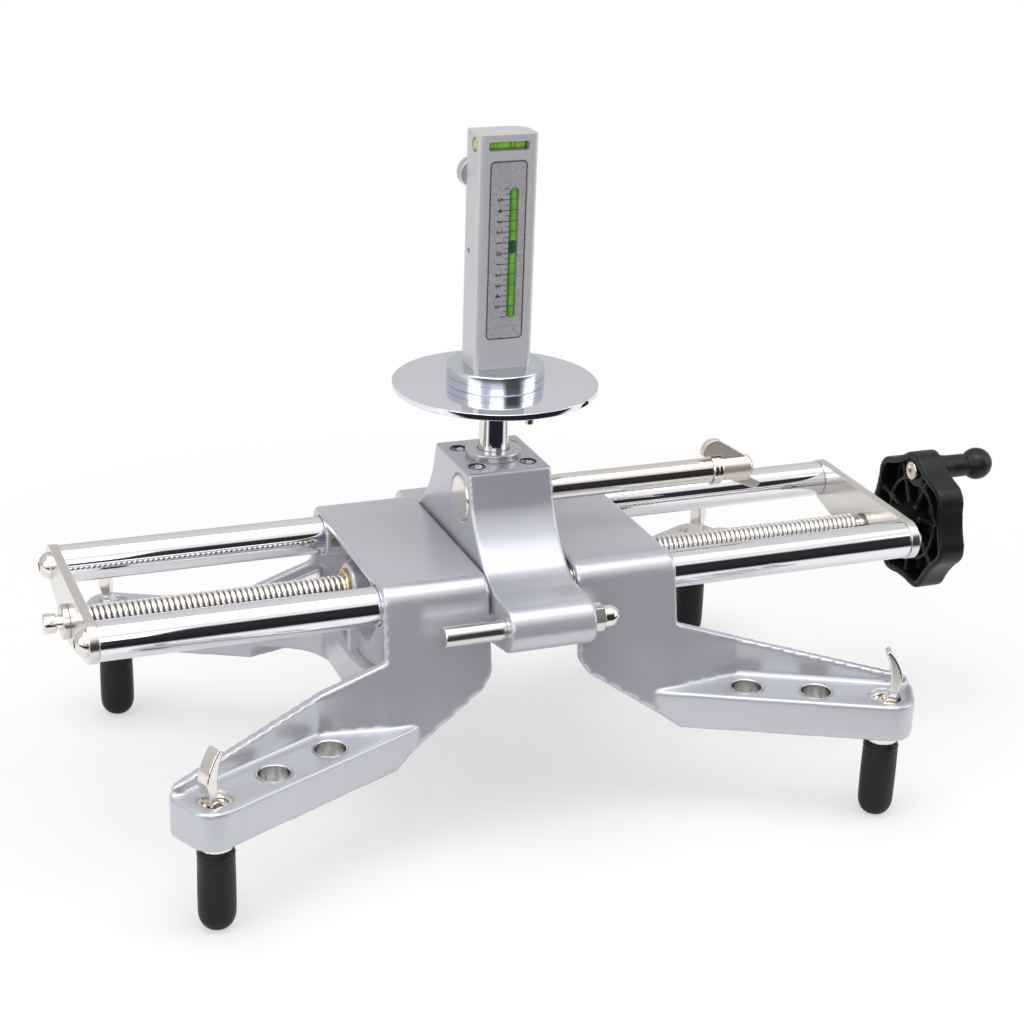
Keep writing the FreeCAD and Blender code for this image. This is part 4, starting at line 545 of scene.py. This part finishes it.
finishes["vial_liquid"] = vialGreen("CamberLiquid", 2, (3.4, -5.8, 298.5), 2.4, (3.2, 3.4, 2.9),
                                    (0.17, 0.43, 0.05), (0.015, 0.12, 0.018), (0.008, 0.09, 0.03))
crossLiquid = vialGreen("CrossLiquid", 0, (-2.6, -3.0, 354.2), 2.6, (0.6, 3.6, 1.5),
                        (0.36, 0.60, 0.05), (0.12, 0.36, 0.02), (0.26, 0.58, 0.08))
# black for print, also for the outline's painted shade of the gap round the scale sheet
blackPrintAndGapShade = Finish("BlackPrintAndGapShade", baseColor=(0.015, 0.015, 0.017), roughness=0.5).material
boreSteel = metal("BoreSteel", (0.80, 0.79, 0.78), (0.66, 0.65, 0.64), 0.14, (1, 1, 0.2), 0.004)
bushingSteel = metal("BushingSteel", (0.66, 0.66, 0.68), (0.56, 0.56, 0.58), 0.26, None, 0.003, 0.1, 0.8)
wingNickel = metal("WingNickel", (0.80, 0.72, 0.64), (0.70, 0.62, 0.55), 0.26, None, 0.003, 0.1, 0.8)
holeShade = Finish("HoleShade", baseColor=(0.05, 0.052, 0.06), roughness=0.5, metallic=0.6).material
threadFinish = threadSteel()
spindleChrome = metal("SpindleChrome", (0.82, 0.81, 0.80), (0.76, 0.75, 0.74), 0.05, None, 0.0008, 0.05)
slotOf = {part["node"]: part["material_slot"] for part in frame["record"]["subparts"]}


def paintNode(node):
    data = frame["nodes"][node].data
    data.materials.clear()
    data.materials.append(finishes[slotOf[node]])


for nodeName in frame["nodes"]:
    paintNode(nodeName)
print("materials ready")


# Castings: head and jaws, with bright bores through the arms

cast = dict(voxel=1.25, headVoxel=1.1, rounds=5, boreRadius=8.4, boreWall=0.35, boreLow=50.2, boreHigh=70.5,
            holes=((116.9, 87.9), (150.5, 104.2)))

casting("jaw_left", cast["voxel"], cast["rounds"])
casting("jaw_right", cast["voxel"], cast["rounds"])
casting("head_casting", cast["headVoxel"], cast["rounds"])
for sideName, sign in (("left", -1), ("right", 1)):
    low, high = cast["boreLow"], cast["boreHigh"]
    inner, outer = cast["boreRadius"] - cast["boreWall"], cast["boreRadius"] + 0.2
    lining = [(low, outer), (low, inner, 0.1), (high, inner, 0.3), (high + 0.25, outer + 0.3), (low, outer)]
    tubes = [turned(lining, "z", (sign * x, back * y, 0), 64) for x, y in cast["holes"] for back in (-1, 1)]
    makePiece("ArmBores_" + sideName, tubes, "jaw_" + sideName, "cast_paint", (), boreSteel)
headHoles = dict(radius=4.2, spacing=14.5, floor=181.1, top=184.85, wall=0.3)
low, high, inner = headHoles["floor"], headHoles["top"], headHoles["radius"]
outer, thick = inner + headHoles["wall"], headHoles["wall"]
cup = [(low, 0), (low, outer), (high, outer), (high, inner, 0.1), (low + thick, inner), (low + thick, 0)]
cups = [turned(cup, "z", (x * headHoles["spacing"], y * headHoles["spacing"], 0), 48)
        for x in (-1, 1) for y in (-1, 1)]
makePiece("HeadHoles", cups, "frame", "cast_paint", (), holeShade)


def ribGrid(x0, x1, z0, z1, y0, y1, edge, radius):
    # a plate between two depths: its rounded outline, drawn in by edge on both faces and closed to the middle
    full = roundRect(x0, x1, z0, z1, radius)
    small = roundRect(x0 + edge, x1 - edge, z0 + edge, z1 - edge, radius - edge)
    middle = np.tile([(x0 + x1) / 2, (z0 + z1) / 2], (len(full), 1))
    rows = ((middle, y0), (small, y0), (full, y0 + edge), (full, y1 - edge), (small, y1), (middle, y1))
    return np.stack([np.insert(outline, 1, depth, axis=1) for outline, depth in rows])


# A rib in the middle of each jaw's open end: from the web and the nut's boss down to the saddle
rib = dict(near=60.5, far=81.0, low=58.0, high=106.0, half=3.5, edge=0.8, radius=2.0)
for sideName, sign in (("left", -1), ("right", 1)):
    ends = sorted((sign * rib["near"], sign * rib["far"]))
    plate = ribGrid(*ends, rib["low"], rib["high"], -rib["half"], rib["half"], rib["edge"], rib["radius"])
    makePiece("NutRib_" + sideName, [plate], "jaw_" + sideName, "cast_paint", (), None, 50)
print("castings ready")


# Guide rods: ground chrome bars with a small chamfer at each end

rods = dict(radius=10.3, left=-225.5, right=229.5, across=50, height=128, chamfer=0.7)
for rodName, y in (("guide_rod_front", -rods["across"]), ("guide_rod_rear", rods["across"])):
    profile = [(rods["left"], 0), (rods["left"], rods["radius"], rods["chamfer"]),
               (rods["right"], rods["radius"], rods["chamfer"]), (rods["right"], 0)]
    makePiece(pieceName(rodName), [turned(profile, "x", (0, y, rods["height"]), 128)], "frame",
              "rod_chrome", (rodName,))


# Lead screw: left hand thread on one side and right hand on the other, which meet inside the head
# radius = root + (crest - root) * clip(2.2 - 5.2 * |f - 1/2|), with f the share of the pitch;
# the rows of points follow the helix

def threadGrid(start, end, hand):
    pitch, per, around = screw["pitch"], screw["perTurn"], screw["around"]
    turns = int((end - start) / pitch) + 2
    row = np.arange(turns * per + 1)[:, None] / per
    angle = np.linspace(0, fullTurn, around + 1)[None, :]
    place = start + pitch * (row - 1 + hand * angle / fullTurn)
    share = (row % 1) + 0 * angle
    lift = np.clip(2.2 - 5.2 * np.abs(share - 0.5), 0, 1)
    inside = (place > start) & (place < end)
    radius = np.where(inside, screw["root"] + (screw["crest"] - screw["root"]) * lift, screw["root"])
    place = np.clip(place, start, end)
    return np.stack([place, radius * np.cos(angle), screw["height"] + radius * np.sin(angle)], axis=-1)


def screwPlain(profile):
    # a plain turned length on the screw's axis
    return turned(profile, "x", (0, 0, screw["height"]), 48)


core, journal, meeting = 5.88, 3.94, 2
leftCore = screwPlain([(-222.4, 0), (-222.4, core, 0.3), (meeting, core), (meeting, 0)])
leftJournal = screwPlain([(-241.8, 0), (-241.8, journal, 0.4), (-222.2, journal), (-222.2, 0)])
rightCore = screwPlain([(meeting, 0), (meeting, core), (226.4, core, 0.3), (226.4, 0)])
rightJournal = screwPlain([(226.2, 0), (226.2, journal), (283, journal, 0.4), (283, 0)])
makePiece("ScrewLeft", [threadGrid(-222, meeting, 1), leftCore, leftJournal], "screw", "nickel",
          ("lead_screw",), threadFinish, merge=0.0005)
makePiece("ScrewRight", [threadGrid(meeting, 226, -1), rightCore, rightJournal], "screw", "nickel", (),
          threadFinish, merge=0.0005)
print("screw ready")


# Turned parts: spindle, disc, magnet, studs, lock washer, collar, bushing

roundParts = dict(
    spindle=dict(axis="z", centre=(0, 0, 0), slot="nickel", finish=spindleChrome, profile=[
        (149, 0), (149, 8.2, 0.7), (189.6, 8.2), (221, 7.2), (223.1, 7.2), (223.1, 0)]),
    spindle_bushing=dict(axis="z", centre=(0, 0, 0), slot="stud_steel", finish=bushingSteel, profile=[
        (181, 8.3), (181, 11), (185, 11), (185, 15.05, 0.4), (189.2, 15.05, 0.9), (189.2, 8.9, 0.4),
        (188.4, 8.3), (181, 8.3)]),
    target_disc=dict(axis="z", centre=(0, 0, 0), slot="disc_chrome", name="SteelDisc", profile=[
        (223.2, 3.1), (223.2, 54.8, 0.35), (226.4, 54.8, 0.3), (226.4, 5.7), (223.7, 3.1), (223.2, 3.1)]),
    magnet_base=dict(axis="z", centre=(0, 0, 0), slot="zinc", profile=[
        (226.42, 5.1), (226.42, 26, 0.5), (230.9, 26), (230.95, 25.5), (231.1, 25.5), (231.15, 26),
        (236.55, 26, 0.8), (236.55, 2.6), (226.8, 2.6), (226.42, 5.1)]),
    nose_stud_front=dict(axis="x", centre=(0, -84, 122), slot="stud_steel", profile=[
        (-56.5, 0), (-56.5, 5.5, 0.8), (-23.6, 5.5), (-23.6, 4), (35.7, 4), (35.7, 0)]),
    nose_stud_rear=dict(axis="x", centre=(0, 84, 122), slot="stud_steel", profile=[
        (-35.7, 0), (-35.7, 4), (23.6, 4), (23.6, 5.5), (56.5, 5.5, 0.8), (56.5, 0)]),
    screw_end_collar=dict(axis="x", centre=(0, 0, 117.5), slot="nickel", profile=[
        (-243.3, 0), (-243.3, 5.2, 1.2), (-236.9, 5.2, 0.5), (-236.9, 0)]),
    lock_washer=dict(axis="x", centre=(0, -14.2, 168), slot="nickel", profile=[
        (122.85, 4.2), (122.85, 8.2, 0.8), (125.6, 8.2, 0.3), (125.8, 7.9), (126, 8.2, 0.3),
        (128.75, 8.2, 0.8), (128.75, 4.2), (122.85, 4.2)]),
)
for node, part in roundParts.items():
    shape = turned(part["profile"], part["axis"], part["centre"], 120)
    makePiece(part.get("name", pieceName(node)), [shape], bodyOf(node), part["slot"], (node,),
              part.get("finish"), 40)


# Finger sleeves: dip-moulded rubber that is wrinkled where it grips the claw's collar

sleeve = dict(radius=9.62, centres=(184.2, 120.6))


def sleeveWave(s, angle):
    # swell = uneven ripple near the top + slow lean of the skin, with a and s the angle and height
    near = np.exp(-((s - 41) / 3.0) ** 2)
    ripple = 0.20 * np.sin(fullTurn * s / 3.4 + 0.9 * np.sin(angle)) * near
    lean = 0.16 * np.sin(2 * angle + s / 9) * np.clip((45 - s) / 10, 0, 1) * np.clip(s / 12, 0, 1)
    return ripple + lean - 0.2


sleeveLine = [(0.02, 0), (0.02, 3)] + [(9 - 8.98 * math.cos(t), 3 + 6.6 * math.sin(t))
                                       for t in np.linspace(0.15, math.pi / 2, 9)]
sleeveLine += [(z, sleeve["radius"]) for z in np.linspace(10, 42, 33)]
sleeveLine += [(43.2, 9.3), (44.4, 9.0), (44.9, 8.4), (45, 7.4), (44.6, 5.4), (40, 5.1)]
for sideName, sign in (("left", -1), ("right", 1)):
    for endName, back in (("front", -1), ("rear", 1)):
        where = f"{sideName}_{endName}"
        x, y = sign * sleeve["centres"][0], back * sleeve["centres"][1]
        skin = turned(sleeveLine, "z", (x, y, 0), 64, wave=sleeveWave)
        makePiece("Sleeve_" + where, [skin], "claw_" + where, "finger_rubber", ("finger_sleeve_" + where,),
                  None, 60)
        casting("claw_" + where, 0.5, 2)
print("turned parts ready")


# Fittings that keep the solid's shape, with their edges broken

edges = dict(end_plate_left=0.5, end_plate_right=0.5, screw_bush_left=0.4, screw_bush_right=0.4,
             acorn_nut_front=0.35, acorn_nut_rear=0.35, cotter_plug=0.6, rod_cap_screws_left=0.3,
             rod_cap_screws_right=0.3, screw_nut_left=0.3, screw_nut_right=0.3, hand_wheel_nut=0.4,
             gauge_body=1.0, caster_plate=0.2, lock_rod=0.3)
for node, width in edges.items():
    softened(node, width)
casting("hand_wheel", 0.9, 4)
casting("lock_wing_head", 0.4, 3, wingNickel)
print("fittings ready")


# Crank: a turned grip with a groove before its ball

crank = dict(start=278.8, end=316.1, height=147.5, stem=6.8, ball=9.4)
ballMiddle = crank["end"] - crank["ball"]
ballLine = [(ballMiddle - crank["ball"] * math.cos(t), crank["ball"] * math.sin(t))
            for t in np.linspace(0.70, math.pi, 22)]
gripLine = [(crank["start"], 3.2), (crank["start"], 7.6, 0.8), (283, 7.3, 1.5), (287, crank["stem"], 3),
            (297.2, 6.7, 1.0), (298.6, 6.1, 0.5), (299.0, 6.0)] + ballLine
crankAxis = (0, 0, crank["height"])
crankBore = turned([(crank["start"], 3.2), (297.3, 3.2), (297.3, 0)], "x", crankAxis, 40)
makePiece("CrankGrip", [turned(gripLine, "x", crankAxis, 72), crankBore], "crank", "black_plastic",
          ("crank_handle",), None, 60)
crankScrewLine = [(262.5, 0), (262.5, 4.6), (262.6, 5.3, 0.5), (264.9, 5.3, 1.0), (265.5, 3.1),
                  (296.8, 3.0, 0.4), (296.8, 0)]
makePiece("CrankScrewHead", [turned(crankScrewLine, "x", crankAxis, 64)], "screw", "nickel", ("crank_screw",),
          None, 40)


# Gauge: scale sheet with a black outline near its edge, which is print and painted shade of the gap round the
# sheet, degree ticks and figures, vials and their rings

gaugeFoot = 236.6
scale = dict(front=-10.4, wide=20.6, low=252.6, high=347.0, corner=3.0, slotX=3.4, slotHalf=2.6,
             slotLow=264.0, slotHigh=333.0, line=0.5, lineCorner=2.4, inset=0.35, printDepth=(-0.01, 0.1),
             zero=62.05, degree=5.63, degrees=5, tickGap=0.15, tickHalf=0.19, majorLong=3.0, minorLong=1.7,
             figureX=-4.3, figureSize=4.0)


def frameGrid(outer, inner, front, back):
    # a flat ring between two outlines of as many points, closed at the front, back and both rims
    layer = lambda outline, depth: np.insert(outline, 1, depth, axis=1)
    return np.stack([layer(outer, front), layer(inner, front), layer(inner, back), layer(outer, back),
                     layer(outer, front)])


half = scale["wide"] / 2
plateOuter = roundRect(-half + 0.05, half - 0.05, scale["low"] + 0.05, scale["high"] - 0.05, scale["corner"])
slotOuter = roundRect(scale["slotX"] - scale["slotHalf"], scale["slotX"] + scale["slotHalf"],
                      scale["slotLow"], scale["slotHigh"], scale["slotHalf"] - 0.01)
sheet = frameGrid(plateOuter, slotOuter, scale["front"] + 0.03, scale["front"] + 0.75)
makePiece("ScaleSheet", [sheet], "gauge", "scale_sheet", ("scale_plate",), None, 40)

printed = tuple(scale["front"] + depth for depth in scale["printDepth"])


def outline(inset, corner):
    return roundRect(-half + inset, half - inset, scale["low"] + inset, scale["high"] - inset, corner)


# the black outline just inside the sheet's edge: print, and painted shade of the recessed gap round the sheet
outerPrintAndGapShade = outline(scale["inset"], scale["lineCorner"])
innerPrintAndGapShade = outline(scale["inset"] + scale["line"], scale["lineCorner"] - scale["line"])
printAndGapShadeGrids = [frameGrid(outerPrintAndGapShade, innerPrintAndGapShade, *printed)]
ticks = []
edge = scale["slotX"] - scale["slotHalf"] - scale["tickGap"]
# a long tick at each degree and a short one half way between, to a degree past the last figure
for step in range(-2 * scale["degrees"] - 2, 2 * scale["degrees"] + 3):
    z = gaugeFoot + scale["zero"] + step * scale["degree"] / 2
    long = scale["majorLong"] if step % 2 == 0 else scale["minorLong"]
    ticks.append((edge - long, edge, z - scale["tickHalf"], z + scale["tickHalf"]))
printAndGapShadeGrids += bars(ticks, printed)
makePiece("ScalePrint", printAndGapShadeGrids, "gauge", "scale_sheet", (), blackPrintAndGapShade, 40)


def figures(name, marks, size, front, slot):
    # generic figures, turned to read from the side, as thin flat prints
    joined = bpy.data.meshes.new(name)
    work = bmesh.new()
    for text, x, z in marks:
        curve = bpy.data.curves.new("Figure", "FONT")
        curve.body, curve.size, curve.extrude, curve.offset = text, size, 0.04, 0.07
        curve.align_x, curve.align_y = "CENTER", "CENTER"
        letter = bpy.data.objects.new("Figure", curve)
        scene.collection.objects.link(letter)
        flat = bpy.data.meshes.new_from_object(letter.evaluated_get(bpy.context.evaluated_depsgraph_get()))
        # x across, y up in the text; upright and turned a quarter to the right on the sheet
        turn = Matrix(((0, mm, 0, x * mm), (0, 0, -mm, front * mm), (-mm, 0, 0, z * mm), (0, 0, 0, 1)))
        flat.transform(turn)
        work.from_mesh(flat)
        bpy.data.objects.remove(letter)
    bmesh.ops.remove_doubles(work, verts=work.verts, dist=0.0005 * mm)
    bmesh.ops.recalc_face_normals(work, faces=work.faces)
    work.to_mesh(joined)
    work.free()
    return settle(bpy.data.objects.new(name, joined), "gauge", slot, (), blackPrintAndGapShade)


marks = [(str(abs(step)), scale["figureX"], gaugeFoot + scale["zero"] + step * scale["degree"])
         for step in range(-scale["degrees"], scale["degrees"] + 1)]
figures("ScaleFigures", marks, scale["figureSize"], scale["front"], "scale_sheet")

vials = dict(
    camber_vial=dict(axis="z", rings=(-28.0, -22.4, -16.7, -11.1, -5.5, 0.15, 5.8, 11.4, 17.0, 22.7, 28.3)),
    cross_vial=dict(axis="x", rings=(-6.6, -4.9, 4.7, 6.6)),
    caster_vial=dict(axis="z", rings=(-8, 0, 8)),
)
vialFit = dict(play=0.02, ends=2.2, ringHalf=0.16, ringUnder=0.1, ringOver=0.05)
for node, vial in vials.items():
    low, high = nodeBox(node)
    middle = (low + high) / 2
    index = "xyz".index(vial["axis"])
    centre = middle.copy()
    centre[index] = 0
    radius = min(high[1] - low[1], high[(index + 2) % 3] - low[(index + 2) % 3]) / 2 - vialFit["play"]
    start, end = low[index] + vialFit["play"], high[index] - vialFit["play"]
    tube = turned([(start, 0), (start, radius, vialFit["ends"]), (end, radius, vialFit["ends"]), (end, 0)],
                  vial["axis"], centre, 64)
    makePiece(pieceName(node), [tube], "gauge", "vial_liquid", (node,),
              crossLiquid if node == "cross_vial" else None, 60)
    reach, inner, outer = vialFit["ringHalf"], radius - vialFit["ringUnder"], radius + vialFit["ringOver"]
    rings = [turned([(s - reach, inner), (s - reach, outer, 0.04), (s + reach, outer, 0.04),
                     (s + reach, inner), (s - reach, inner)], vial["axis"], centre, 64)
             for s in middle[index] + np.array(vial["rings"])]
    makePiece(pieceName(node) + "Rings", rings, "gauge", "vial_liquid", (), blackPrintAndGapShade, 40)

# Caster knob: a knurled disc on its stem; ridges = 0.28 * cos(30 a) on the rim

knob = dict(centre=(-10.4, 0, 336.2), front=10.6, back=17.4, radius=8.0)


def knurl(s, angle):
    return 0.28 * np.cos(30 * angle) * np.clip((s - knob["front"] - 0.9) / 0.6, 0, 1) * np.clip(
        (knob["back"] - 0.9 - s) / 0.6, 0, 1)


knobLine = [(2.4, 0), (2.4, 1.95, 0.3), (knob["front"], 1.95), (knob["front"], 7.6, 0.3)]
knobLine += [(s, knob["radius"]) for s in np.linspace(knob["front"] + 0.8, knob["back"] - 0.8, 9)]
knobLine += [(knob["back"], 7.5, 0.5), (knob["back"] - 0.3, 5.2), (knob["back"] - 0.3, 0)]
grip = turned(knobLine, "y", knob["centre"], 240, wave=lambda s, a: knurl(s, a) * (s > 10))
makePiece("CasterKnob", [grip], "trim_knob", "knob_metal", ("caster_knob",), None, 40)
print("gauge ready")
